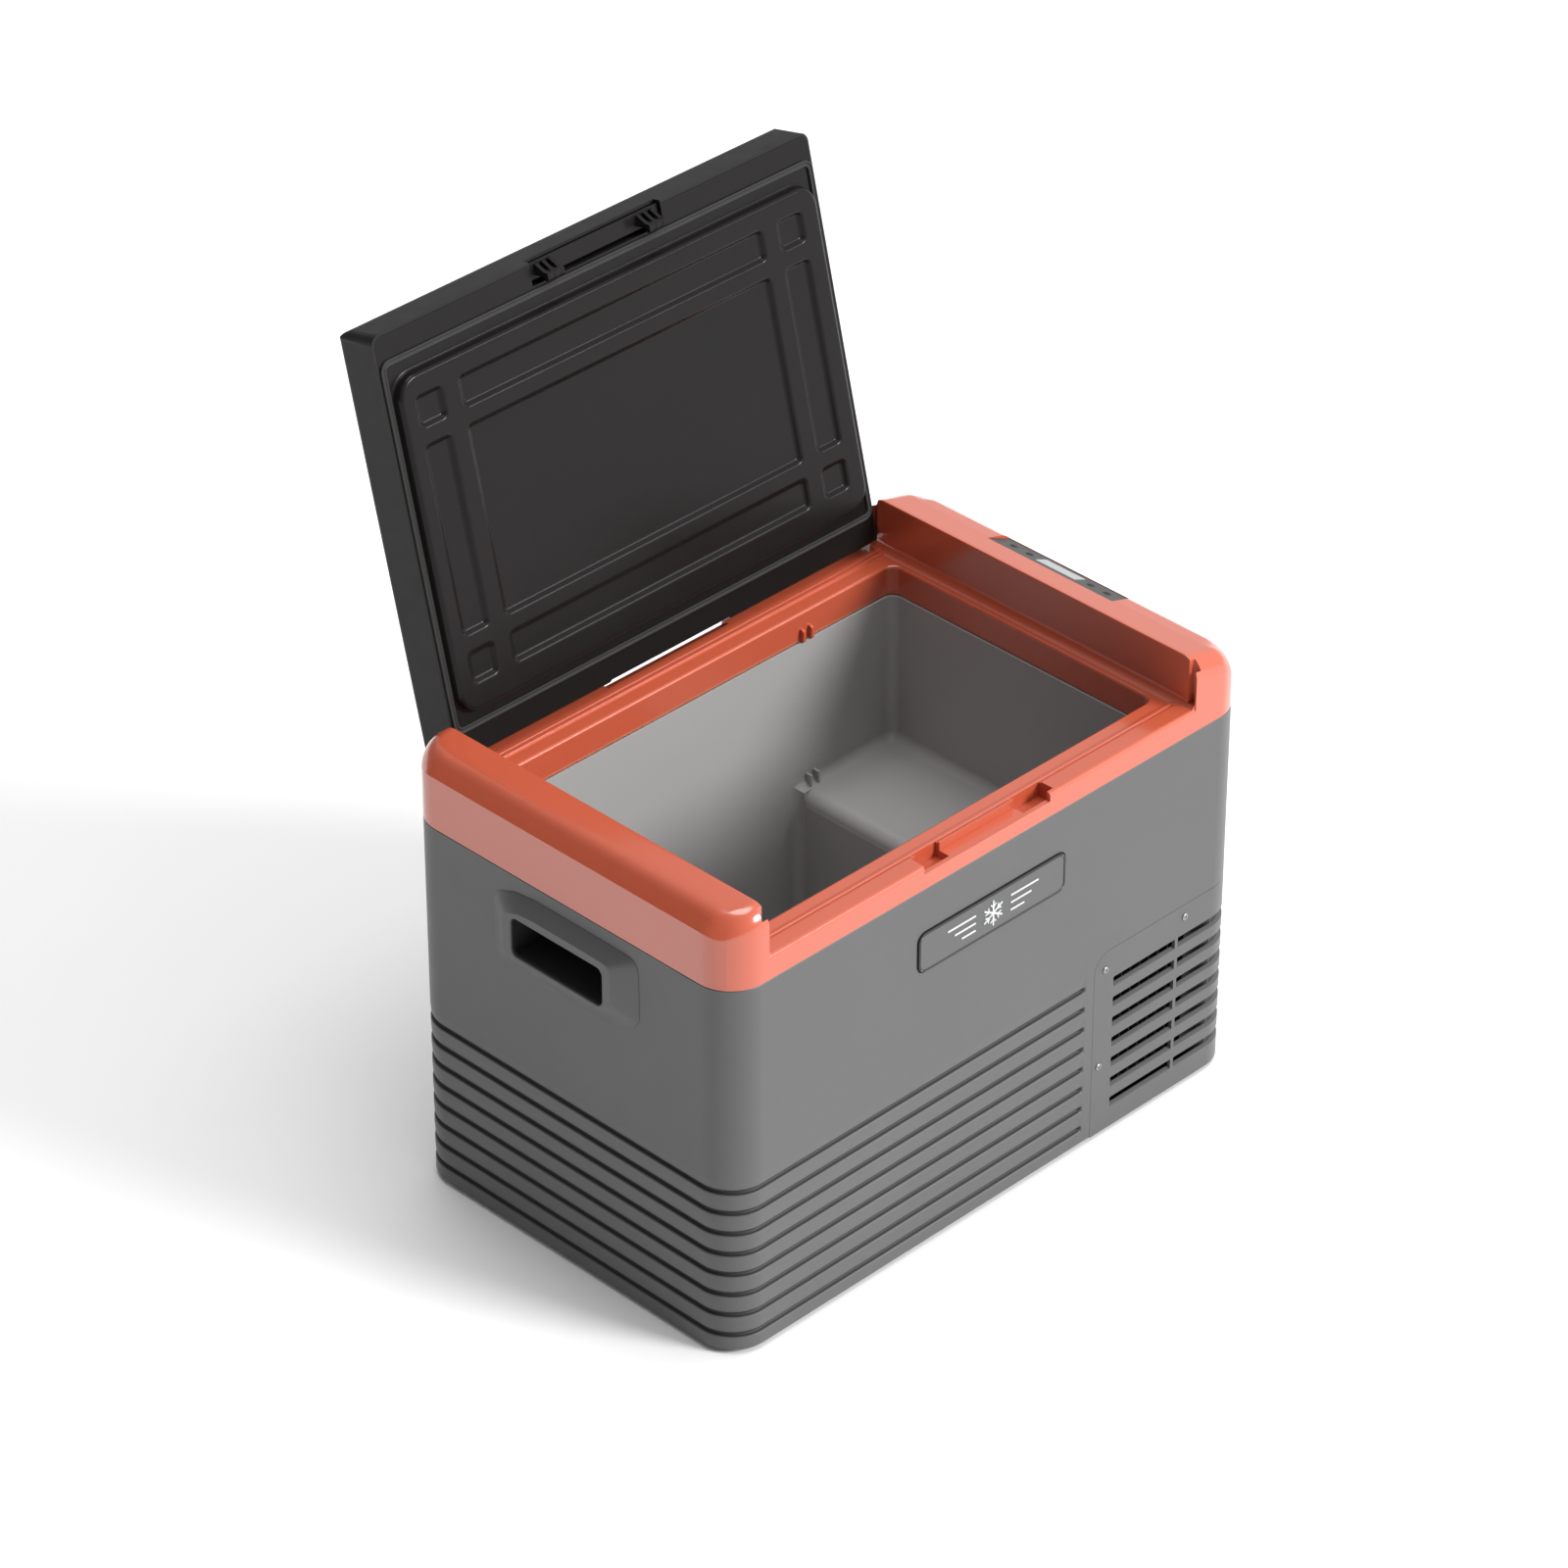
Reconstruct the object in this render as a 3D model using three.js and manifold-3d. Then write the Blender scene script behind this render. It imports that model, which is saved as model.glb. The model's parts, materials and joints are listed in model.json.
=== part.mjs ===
// Portable compressor cooler: a deep insulated tub in a long grooved case, a moulded top frame
// and a lid that swings on pins at the rear. Millimetres, +X to the control panel end,
// -Y to the front, +Z up. The origin is the middle of the case footprint, on the pan underside.
import * as THREE from 'three';
import Module from 'manifold-3d';
import { mergeVertices } from 'three/addons/utils/BufferGeometryUtils.js';

const wasm = await Module();
wasm.setup();

// Case
const HALF_X = 295;
const HALF_Y = 182.5;
const CORNER_R = 34;
const CASE_TOP = 348;
const WALL = 4;
const GAP = 0.3;
const ARC_STEPS = 6;
const GROOVE_COUNT = 8;
const GROOVE_TOP_Z = 155.5;
const GROOVE_PITCH = 20;
const GROOVE_H = 6;
const GROOVE_DEPTH = 2.2;
const GROOVE_END_X = 108;
const GROOVE_END_Y = -52;

// Vent module round the front right corner
const VENT_X = 118;
const VENT_Y = -60;
const VENT_TOP = 181;
const VENT_R = 18;
const VENT_SKIN = 1.7;
const VENT_THICK = 6;
const VENT_INSET = 16;
const SLOT_COUNT = 7;
const SLOT_TOP = 151.3;
const SLOT_PITCH = 20.27;
const SLOT_H = 9.8;
const VENT_SCREWS = [
  { at: [227, -HALF_Y, 168.6], side: 'front' },
  { at: [131.3, -HALF_Y, 163.3], side: 'front' },
  { at: [126.2, -HALF_Y, 68.6], side: 'front' },
  { at: [HALF_X, -66, 161], side: 'right' },
  { at: [HALF_X, -66, 68.6], side: 'right' },
];

// Feet
const FEET = [[-250, -140], [-250, 140], [250, -140], [250, 140]];

// Tub
const TUB = { x0: -241, x1: 217, y: 143, r: 9 };
const TUB_TOP = 340.7;
const TUB_FLOOR = 48;
const HUMP_TOP = 200;
const HUMP_X = 103;
const TUB_WALL = 2;
const TUB_DRAFT_X = 3;
const TUB_DRAFT_Y = 5;

// Top frame
const RIM_Z0 = 348.3;
const LAND_Z = 370;
const SEAT_Z = 368;
const OPEN = { x0: -243, x1: 219, y: 145.5, r: 9 };
const BAY_X0 = -253.5;
const BAY_X1 = 230;
const BAND_Z = 341;
const DOME_IN = 16;
const DOME_DROP = 18.6;
const RECESS = { x0: -84, x1: 59, y: 168, z: 362.5 };
const REAR_GAP = { x0: -81, x1: 56, y: 174, z: 365.5 };
const HOOK_X = [-67.7, 43.1];
const HOOK_W = 17.7;

// Lid, drawn shut
const LID = { x0: -250.8, x1: 225.2, y0: -182.5, y1: 181.5, z0: 370.8, z1: 413.5 };
const LID_CREASE = 398.5;
const LID_WALL = 2.5;
const PLUG = { x0: -241, x1: 216, y: 143.4, z: 361.8, r: 20 };
const HINGE_Y = 177.5;
const HINGE_Z = 379.5;
const LID_OPEN = 103.5;
const LATCH_Y = 171.5;
const LATCH_Z = 389;

// Control panel
const PANEL = { x: 270.1, y: 4, z: 402.25, halfLen: 69.5, halfWid: 14.4, tilt: 24.4 };
const BUTTON_Y = [-52, -34, 34, 52];

// Compressor bay
const BAY_WALL_X = 148;
const BAY_TOP = 160;
const FAN = { x: 207, z: 84, y0: -139, y1: -114, half: 57, bore: 52 };
const PUMP = { x: 212, y: 10, r: 46 };

const group = new THREE.Group();
group.name = 'cooler_fridge';

const { Manifold, Mesh } = wasm;

function solid(geometry) {
  const bare = geometry.clone();
  bare.deleteAttribute('normal');
  bare.deleteAttribute('uv');
  const merged = mergeVertices(bare, 1e-4);
  const vertProperties = new Float32Array(merged.attributes.position.array);
  const triVerts = new Uint32Array(merged.index.array);
  return new Manifold(new Mesh({ numProp: 3, vertProperties, triVerts }));
}

function add(name, body, look) {
  const out = body.getMesh();
  const geometry = new THREE.BufferGeometry();
  geometry.setAttribute('position', new THREE.BufferAttribute(new Float32Array(out.vertProperties), 3));
  geometry.setIndex(new THREE.BufferAttribute(new Uint32Array(out.triVerts), 1));
  geometry.computeVertexNormals();
  const material = new THREE.MeshStandardMaterial({ roughness: 0.6, metalness: 0, ...look });
  const mesh = new THREE.Mesh(geometry, material);
  mesh.name = name;
  group.add(mesh);
}

function box(x0, x1, y0, y1, z0, z1) {
  const geometry = new THREE.BoxGeometry(x1 - x0, y1 - y0, z1 - z0);
  geometry.translate((x0 + x1) / 2, (y0 + y1) / 2, (z0 + z1) / 2);
  return solid(geometry);
}

function polygon(points) {
  return new THREE.Shape(points.map(([a, b]) => new THREE.Vector2(a, b)));
}

function rounded(a0, a1, b0, b1, r, steps = ARC_STEPS) {
  const points = [];
  const corners = [[a1 - r, b1 - r, 0], [a0 + r, b1 - r, 90], [a0 + r, b0 + r, 180], [a1 - r, b0 + r, 270]];
  for (const [ca, cb, start] of corners) {
    for (let i = 0; i <= steps; i += 1) {
      const angle = THREE.MathUtils.degToRad(start + (90 * i) / steps);
      points.push([ca + r * Math.cos(angle), cb + r * Math.sin(angle)]);
    }
  }
  return points;
}

function extrude(points, depth) {
  return new THREE.ExtrudeGeometry(polygon(points), { depth, bevelEnabled: false, steps: 1 });
}

// Outline in x and y, raised along z
function prismZ(points, z0, z1) {
  return solid(extrude(points, z1 - z0).translate(0, 0, z0));
}

// Outline in y and z, run along x
function prismX(points, x0, x1) {
  const geometry = extrude(points, x1 - x0);
  geometry.applyMatrix4(new THREE.Matrix4().set(0, 0, 1, x0, 1, 0, 0, 0, 0, 1, 0, 0, 0, 0, 0, 1));
  return solid(geometry);
}

// Outline in x and z, run along y
function prismY(points, y0, y1) {
  const geometry = extrude(points, y1 - y0);
  geometry.applyMatrix4(new THREE.Matrix4().set(1, 0, 0, 0, 0, 0, -1, y1, 0, 1, 0, 0, 0, 0, 0, 1));
  return solid(geometry);
}

function cylinder(axis, radius, start, end, steps = 16) {
  const from = new THREE.Vector3(...start);
  const to = new THREE.Vector3(...end);
  const geometry = new THREE.CylinderGeometry(radius, radius, from.distanceTo(to), steps);
  if (axis === 'x') geometry.rotateZ(-Math.PI / 2);
  if (axis === 'z') geometry.rotateX(Math.PI / 2);
  const middle = from.add(to).multiplyScalar(0.5);
  return solid(geometry.translate(middle.x, middle.y, middle.z));
}

// Turned part about z; profile in (radius, height), starting and ending on the axis
function turned(profile, steps, x, y, z) {
  const geometry = new THREE.LatheGeometry(profile.map(([r, h]) => new THREE.Vector2(r, h)), steps);
  geometry.rotateX(Math.PI / 2);
  return solid(geometry.translate(x, y, z));
}

function pipe(points, radius, steps) {
  const path = new THREE.CatmullRomCurve3(points.map((p) => new THREE.Vector3(...p)), false, 'catmullrom', 0.2);
  const ring = rounded(-radius, radius, -radius, radius, radius, 2);
  return solid(new THREE.ExtrudeGeometry(polygon(ring), { steps, bevelEnabled: false, extrudePath: path }));
}

function joined(parts) {
  return Manifold.union(parts);
}

function cutAll(body, tools) {
  return body.subtract(Manifold.union(tools));
}

function caseBlock(inset, z0, z1) {
  const r = CORNER_R - inset;
  return prismZ(rounded(-HALF_X + inset, HALF_X - inset, -HALF_Y + inset, HALF_Y - inset, r), z0, z1);
}

// --- Case -------------------------------------------------------------------------------
// Everything inside the vent outline, grown or shrunk by an offset
function ventRegion(offset) {
  const left = VENT_X - offset;
  const rear = VENT_Y + offset;
  const top = VENT_TOP + offset;
  const low = offset < 0 ? -offset : -20;
  const r = VENT_R + offset;
  const arc = (a, dir) => {
    const points = [];
    for (let i = 0; i <= ARC_STEPS; i += 1) {
      const angle = (Math.PI / 2) * (i / ARC_STEPS);
      points.push([a + dir * (r - r * Math.cos(angle)), top - r + r * Math.sin(angle)]);
    }
    return points;
  };
  const front = prismY([[400, low], [400, top], ...arc(left, 1).reverse(), [left, low]], -400, -120);
  const side = prismX([[-400, low], [-400, top], ...arc(rear, -1).reverse(), [rear, low]], 230, 400);
  return front.add(side);
}

function grooveCuts() {
  const cuts = [];
  for (let k = 0; k < GROOVE_COUNT; k += 1) {
    const z = GROOVE_TOP_Z - GROOVE_PITCH * k;
    const band = box(-400, 400, -400, 400, z - GROOVE_H / 2, z + GROOVE_H / 2);
    cuts.push(band.subtract(caseBlock(GROOVE_DEPTH, z - GROOVE_H, z + GROOVE_H)));
  }
  const spare = box(GROOVE_END_X, 500, -500, GROOVE_END_Y, -50, 300);
  return cuts.map((cut) => cut.subtract(spare));
}

function screwShaft(screw, radius, from, to) {
  const [x, y, z] = screw.at;
  if (screw.side === 'front') return cylinder('y', radius, [x, y - to, z], [x, y - from, z], 10);
  return cylinder('x', radius, [x + from, y, z], [x + to, y, z], 10);
}

function makeCase() {
  const shell = caseBlock(0, 0, CASE_TOP).subtract(caseBlock(WALL, -1, CASE_TOP + 1));
  const seat = ventRegion(0).subtract(caseBlock(VENT_SKIN + GAP, -30, CASE_TOP));
  const window = ventRegion(-VENT_INSET + GAP);
  const holes = VENT_SCREWS.map((screw) => screwShaft(screw, 1.6, -WALL - 2, 1));
  const handle = box(-400, 400, -56, 56, 277.5, 322);
  const inlet = box(280, 310, 105.5, 134.5, 47.5, 72.5);
  const badge = prismY(rounded(-90.3, 78.3, 269.7, 307.3, 8.3, 4), -190, -HALF_Y + 0.9);
  return cutAll(shell, [seat, window, handle, inlet, badge, ...holes, ...grooveCuts()]);
}

function makeVent() {
  const skin = caseBlock(0, 0, 200).subtract(caseBlock(VENT_SKIN, -1, 201)).intersect(ventRegion(-GAP));
  const thick = caseBlock(0, 0, 200).subtract(caseBlock(VENT_THICK, -1, 201));
  const body = skin.add(thick.intersect(ventRegion(-VENT_INSET)));
  const cuts = VENT_SCREWS.map((screw) => screwShaft(screw, 1.6, -4, 1));
  for (let k = 0; k < SLOT_COUNT; k += 1) {
    const z1 = SLOT_TOP - SLOT_PITCH * k;
    const z0 = z1 - SLOT_H;
    cuts.push(box(141.5, 216, -200, -150, z0, z1));
    cuts.push(box(219.5, 310, -200, -150, z0, z1));
    cuts.push(box(270, 310, -146.5, -84, z0, z1));
  }
  return cutAll(body, cuts);
}

function makeScrew(screw) {
  const head = screwShaft(screw, 3.2, GAP, 1.3);
  const shaft = screwShaft(screw, 1.3, -5.5, 0.6);
  return head.add(shaft);
}

// Tray with a round seat for each foot, and air slots below the compressor
function makePan() {
  const tray = caseBlock(WALL + GAP, 0, 14).subtract(caseBlock(WALL + GAP + 2, 3, 15));
  const seats = [];
  const holes = [];
  for (const [x, y] of FEET) {
    seats.push(cylinder('z', 15.5, [x, y, 0.5], [x, y, 5], 24));
    holes.push(cylinder('z', 14, [x, y, -1], [x, y, 2], 24));
    holes.push(cylinder('z', 4.4, [x, y, -1], [x, y, 6], 16));
  }
  for (let k = 0; k < 6; k += 1) holes.push(box(172, 242, -60 + 16 * k, -52 + 16 * k, -1, 4));
  return cutAll(joined([tray, ...seats]), holes);
}

function makeFoot(x, y) {
  const profile = [[0, -4], [11.5, -4], [13, -2.6], [13, 1.7], [4, 1.7], [4, 5.4], [6, 5.4], [4.6, 8.5], [0, 8.5]];
  return turned(profile, 16, x, y, 0);
}

// Walls lean in towards the floor by the tub drafts
function drafted(body) {
  const middle = (TUB.x0 + TUB.x1) / 2;
  const half = (TUB.x1 - TUB.x0) / 2;
  return body.warp((v) => {
    const t = (TUB_TOP - v[2]) / (TUB_TOP - TUB_FLOOR);
    v[0] -= ((v[0] - middle) / half) * TUB_DRAFT_X * t;
    v[1] -= (v[1] / TUB.y) * TUB_DRAFT_Y * t;
  });
}

function tubBlock(grow, top) {
  const { x0, x1, y, r } = TUB;
  const wide = rounded(x0 - grow, x1 + grow, -y - grow, y + grow, r + grow, 4);
  const deep = rounded(x0 - grow, HUMP_X + grow, -y - grow, y + grow, r + grow, 4);
  const upper = prismZ(wide, HUMP_TOP - grow, top);
  return upper.add(prismZ(deep, TUB_FLOOR - grow, HUMP_TOP + 1));
}

function makeTub() {
  return drafted(tubBlock(TUB_WALL, TUB_TOP)).subtract(drafted(tubBlock(0, TUB_TOP + 5)));
}

function makeEvaporator() {
  const band = box(-400, 400, -400, 400, 222, 318);
  return drafted(tubBlock(3.6, 330)).subtract(drafted(tubBlock(2.5, 331))).intersect(band);
}

function makeFoam() {
  const block = caseBlock(WALL + 0.5, 14.5, 347);
  const cuts = [
    drafted(tubBlock(4.2, 350)),
    box(BAY_WALL_X, 400, -400, 400, 0, BAY_TOP),
    box(120, 400, -400, -172, 0, 178),
    box(260, 400, -400, -60, 0, 178),
    prismZ(rounded(OPEN.x0 - 5, OPEN.x1 + 5, -OPEN.y - 5, OPEN.y + 5, OPEN.r + 4), 339, 360),
  ];
  for (const side of [-1, 1]) {
    const x = side * 281;
    cuts.push(box(x - 14, x + 14, -57, 57, 276.5, 323));
  }
  return cutAll(block, cuts);
}

// --- Top frame --------------------------------------------------------------------------
function shoulderHeight(points, x) {
  for (let i = 1; i < points.length; i += 1) {
    const [xa, za] = points[i - 1];
    const [xb, zb] = points[i];
    if (x <= xb) return za + ((zb - za) * (x - xa)) / (xb - xa);
  }
  return points[points.length - 1][1];
}

function dome(d) {
  const t = Math.max(0, 1 - d / DOME_IN);
  return DOME_DROP * (1 - Math.sqrt(Math.max(0, 1 - t * t)));
}

// A raised block whose ends follow the case outline and roll over to the front and rear
function shoulder(stations, points) {
  const depths = [0, 1.2, 3.6, 7.5, 11.5, 16];
  const rows = [...depths.map((d) => [-1, d]), ...depths.map((d) => [1, d]).reverse()];
  const nx = stations.length - 1;
  const ny = rows.length - 1;
  const geometry = new THREE.BoxGeometry(1, 1, 1, nx, ny, 1);
  const position = geometry.attributes.position;
  for (let i = 0; i < position.count; i += 1) {
    const x = stations[Math.round((position.getX(i) + 0.5) * nx)];
    const [side, d] = rows[Math.round((position.getY(i) + 0.5) * ny)];
    const past = Math.max(0, Math.abs(x) - (HALF_X - CORNER_R));
    const edge = HALF_Y - CORNER_R + Math.sqrt(Math.max(0, CORNER_R * CORNER_R - past * past));
    const z = position.getZ(i) > 0 ? shoulderHeight(points, x) - dome(d) : 352;
    position.setXYZ(i, x, side * (edge - d), z);
  }
  return solid(geometry);
}

function cornerStations(side) {
  const stations = [];
  for (let i = 0; i <= ARC_STEPS; i += 1) {
    const angle = (Math.PI / 2) * (i / ARC_STEPS);
    stations.push(side * (HALF_X - CORNER_R + CORNER_R * Math.cos(angle)));
  }
  return stations;
}

// Box in the control panel's own axes: down the slope, along y, and out of the face
function panelBox(u, y0, y1, n0, n1) {
  const geometry = new THREE.BoxGeometry(2 * u, y1 - y0, n1 - n0);
  geometry.translate(0, (y0 + y1) / 2, (n0 + n1) / 2);
  return onPanel(geometry);
}

function onPanel(geometry) {
  geometry.rotateY(THREE.MathUtils.degToRad(PANEL.tilt));
  return solid(geometry.translate(PANEL.x, PANEL.y, PANEL.z));
}

function makeRim() {
  const leftTop = [[-295, 396.5], [-293, 400], [-289, 405.5], [-283.5, 410.6], [-278, 413], [-272, 414], [BAY_X0, 415]];
  const rightTop = [[230, 415.3], [243, 411.9], [258, 407.9], [262, 406.8], [269.8, 405], [277.5, 402],
    [286, 394], [291, 386], [295, 372]];
  const left = shoulder([...cornerStations(-1), BAY_X0], leftTop);
  const right = shoulder([BAY_X1, 243, ...cornerStations(1).reverse()], rightTop);
  const ring = caseBlock(0, RIM_Z0, LAND_Z);
  const band = prismZ(rounded(OPEN.x0 - 3, OPEN.x1 + 3, -OPEN.y - 3, OPEN.y + 3, OPEN.r + 3), BAND_Z, 352);
  const leftFoot = prismY([[BAY_X0 - 1, 366], [BAY_X0 - 1, 373], [BAY_X0, 373], [-252.8, 370.5], [-251, 368.7],
    [-248.5, SEAT_Z], [-248.5, 366]], -HALF_Y, HALF_Y);
  const rightFoot = prismY([[BAY_X1 + 1, 366], [225, 366], [225, SEAT_Z], [227.5, 368.7], [229.3, 370.5],
    [BAY_X1, 373], [BAY_X1 + 1, 373]], -HALF_Y, HALF_Y);
  const core = caseBlock(3.5, 340, 358);
  const spine = prismZ(rounded(OPEN.x0 - 6, OPEN.x1 + 6, -OPEN.y - 6, OPEN.y + 6, OPEN.r + 6), 330, 360);
  const keep = box(-92, 67, -400, -140, 351, 360);
  const seat = box(-248.5, 225, -160.5, 160.5, SEAT_Z, 380);
  const cuts = [
    core.subtract(spine).subtract(keep),
    seat,
    prismZ(rounded(OPEN.x0, OPEN.x1, -OPEN.y, OPEN.y, OPEN.r), 300, 420),
    box(-288, -258, -150, 150, 340, 394),
    box(236, 283, -150, 150, 340, 384),
    panelBox(PANEL.halfWid, -PANEL.halfLen, PANEL.halfLen, -2.5, 14),
    panelBox(10.8, -62, 62, -20, 0),
    box(RECESS.x0, RECESS.x1, -190, -RECESS.y, RECESS.z, 380),
    box(-79, -52, -178.5, -163.5, 355.5, 380),
    box(32, 66, -178.5, -163.5, 355.5, 380),
    box(REAR_GAP.x0, REAR_GAP.x1, REAR_GAP.y, 190, REAR_GAP.z, 380),
  ];
  const ribs = [];
  for (const side of [-1, 1]) {
    const strip = (y0, y1) => (side < 0 ? [-y1, -y0] : [y0, y1]);
    cuts.push(box(BAY_X0 + 8, BAY_X1 - 8, ...strip(163.5, 166), 368.2, 380));
    cuts.push(box(BAY_X1 - 1, 236, ...strip(174, 181), LAND_Z, 430));
    cuts.push(box(-259.5, BAY_X0 + 1, ...strip(174, 181), LAND_Z, 430));
    for (const x of [110, 119.5]) ribs.push(box(x, x + 2.5, ...strip(141, 146), BAND_Z, 353));
  }
  const frame = joined([ring, band, left, right, leftFoot, rightFoot]);
  return cutAll(frame, cuts).add(joined(ribs));
}

// --- Handles, badge, panel, inlet -------------------------------------------------------
function makeHandle() {
  const base = [[-82, 259], [72, 259], [79, 262], [82, 269], [82, 336], [-72, 336], [-79, 333], [-82, 326]];
  const geometry = extrude(base, 1);
  const position = geometry.attributes.position;
  for (let i = 0; i < position.count; i += 1) {
    const out = position.getZ(i) > 0.5;
    const y = position.getX(i);
    const z = position.getY(i);
    if (out) position.setXYZ(i, 306, y * (60 / 82), 278 + (z - 259) * (47 / 77));
    else position.setXYZ(i, HALF_X + GAP, y, z);
  }
  const collar = solid(geometry);
  const cup = box(268, 297, -55.5, 55.5, 278, 321.5);
  const hollow = box(270.5, 302, -53, 53, 280.5, 319);
  const mouth = prismX(rounded(-51, 51, 282, 317, 6, 3), 290, 320);
  const well = collar.add(cup).subtract(mouth);
  return well.subtract(hollow.intersect(box(260, 301.5, -60, 60, 270, 330)));
}

function makeBadge() {
  const plate = prismY(rounded(-90, 78, 270, 307, 8, 4), -184, -HALF_Y + 0.6);
  const bars = [];
  for (let k = 0; k < 3; k += 1) {
    const arm = box(-0.8, 0.8, -184.6, -183.5, -11, 11);
    const twigs = [];
    for (const end of [-1, 1]) {
      for (const lean of [-45, 45]) {
        const twig = box(-0.6, 0.6, -184.6, -183.5, 0, 4.5).rotate([0, lean, 0]);
        twigs.push((end < 0 ? twig.rotate([0, 180, 0]) : twig).translate([0, 0, end * 5]));
      }
    }
    bars.push(joined([arm, ...twigs]).rotate([0, 60 * k, 0]).translate([-6, 0, 288.5]));
  }
  return plate.add(joined(bars));
}

function makePanel() {
  const plate = panelBox(PANEL.halfWid - GAP, -PANEL.halfLen + GAP, PANEL.halfLen - GAP, -2.2, 0);
  const cuts = [panelBox(8.3, -22.3, 22.3, -3, 1)];
  for (const y of BUTTON_Y) {
    const hole = new THREE.CylinderGeometry(3.4, 3.4, 6, 16).rotateX(Math.PI / 2);
    cuts.push(onPanel(hole.translate(0, y, 0)));
  }
  return cutAll(plate, cuts);
}

function makeButton(y) {
  const profile = [[0, -3.8], [4.2, -3.8], [4.2, -2.6], [3, -2.6], [3, 0.2], [2.6, 0.6], [0, 0.6]];
  const geometry = new THREE.LatheGeometry(profile.map(([r, h]) => new THREE.Vector2(r, h)), 16);
  geometry.rotateX(Math.PI / 2);
  return onPanel(geometry.translate(0, y, 0));
}

function makePcb() {
  const board = panelBox(9.8, -60, 60, -7.2, -5.6);
  const display = panelBox(7, -20, 20, -5.8, -3.2);
  return board.add(display);
}

function makeInlet() {
  const bezel = prismX(rounded(100, 140, 42, 78, 5, 3), HALF_X + GAP, HALF_X + 2.3);
  const body = box(272, 296, 106, 134, 48, 72);
  const socket = prismX(rounded(109, 131, 52, 68, 3, 3), 277, 300);
  const pins = [114.5, 125.5].map((y) => cylinder('x', 1.8, [275, y, 60], [290, y, 60], 10));
  return bezel.add(body).subtract(socket).add(joined(pins));
}

// --- Lid, built shut and swung open -----------------------------------------------------
function swungOpen(body) {
  return body.translate([0, -HINGE_Y, -HINGE_Z]).rotate([-LID_OPEN, 0, 0]).translate([0, HINGE_Y, HINGE_Z]);
}

function lidSection(inset, z0) {
  const points = [[LID.y1 - inset, z0]];
  for (let i = 0; i <= 4; i += 1) {
    const angle = (Math.PI / 2) * (i / 4);
    const y = LID.y1 - DOME_IN + (DOME_IN - inset) * Math.cos(angle);
    points.push([y, LID_CREASE + (LID.z1 - LID_CREASE - inset) * Math.sin(angle)]);
  }
  for (let i = 4; i >= 0; i -= 1) {
    const angle = (Math.PI / 2) * (i / 4);
    const y = LID.y0 + DOME_IN - (DOME_IN - inset) * Math.cos(angle);
    points.push([y, LID_CREASE + (LID.z1 - LID_CREASE - inset) * Math.sin(angle)]);
  }
  points.push([LID.y0 + inset, z0]);
  return points;
}

function lidBlock(inset, z0) {
  const along = prismX(lidSection(inset, z0), LID.x0 + inset, LID.x1 - inset);
  const x0 = LID.x0 + inset;
  const x1 = LID.x1 - inset;
  const top = LID.z1 - inset;
  const edge = [[x0, z0], [x1, z0], [x1, top - 8], [x1 - 2.3, top - 2.3], [x1 - 8, top], [x0 + 8, top],
    [x0 + 2.3, top - 2.3], [x0, top - 8]];
  const plan = rounded(x0, x1, LID.y0 + inset, LID.y1 - inset, 5 - inset / 2, 2);
  return along.intersect(prismY(edge, -300, 300)).intersect(prismZ(plan, 300, 500));
}

function latchWindow(grow, yIn, z0, z1) {
  return box(RECESS.x0 - grow, RECESS.x1 + grow, -190, -yIn, z0, z1);
}

function rearWindow(grow, yIn, z1) {
  return box(REAR_GAP.x0 - grow, REAR_GAP.x1 + grow, yIn, 200, 360, z1);
}

function makeLidShell() {
  const skin = lidBlock(0, LID.z0).subtract(lidBlock(LID_WALL, 360));
  const bosses = [[206, 224], [-249, -231]].map(([x0, x1]) => box(x0, x1, 172, 180, 374.2, 385));
  const pins = [cylinder('x', 2.8, [200, HINGE_Y, HINGE_Z], [240, HINGE_Y, HINGE_Z]),
    cylinder('x', 2.8, [-270, HINGE_Y, HINGE_Z], [-220, HINGE_Y, HINGE_Z])];
  const chamfer = prismX([[178.7, 370], [190, 370], [190, 382.3], [181.6, 373.9], [178.7, 371]], -300, 300);
  return cutAll(skin.add(joined(bosses)), [latchWindow(0, 165, 360, 378.5), rearWindow(0, 176, 378.5), ...pins, chamfer]);
}

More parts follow.
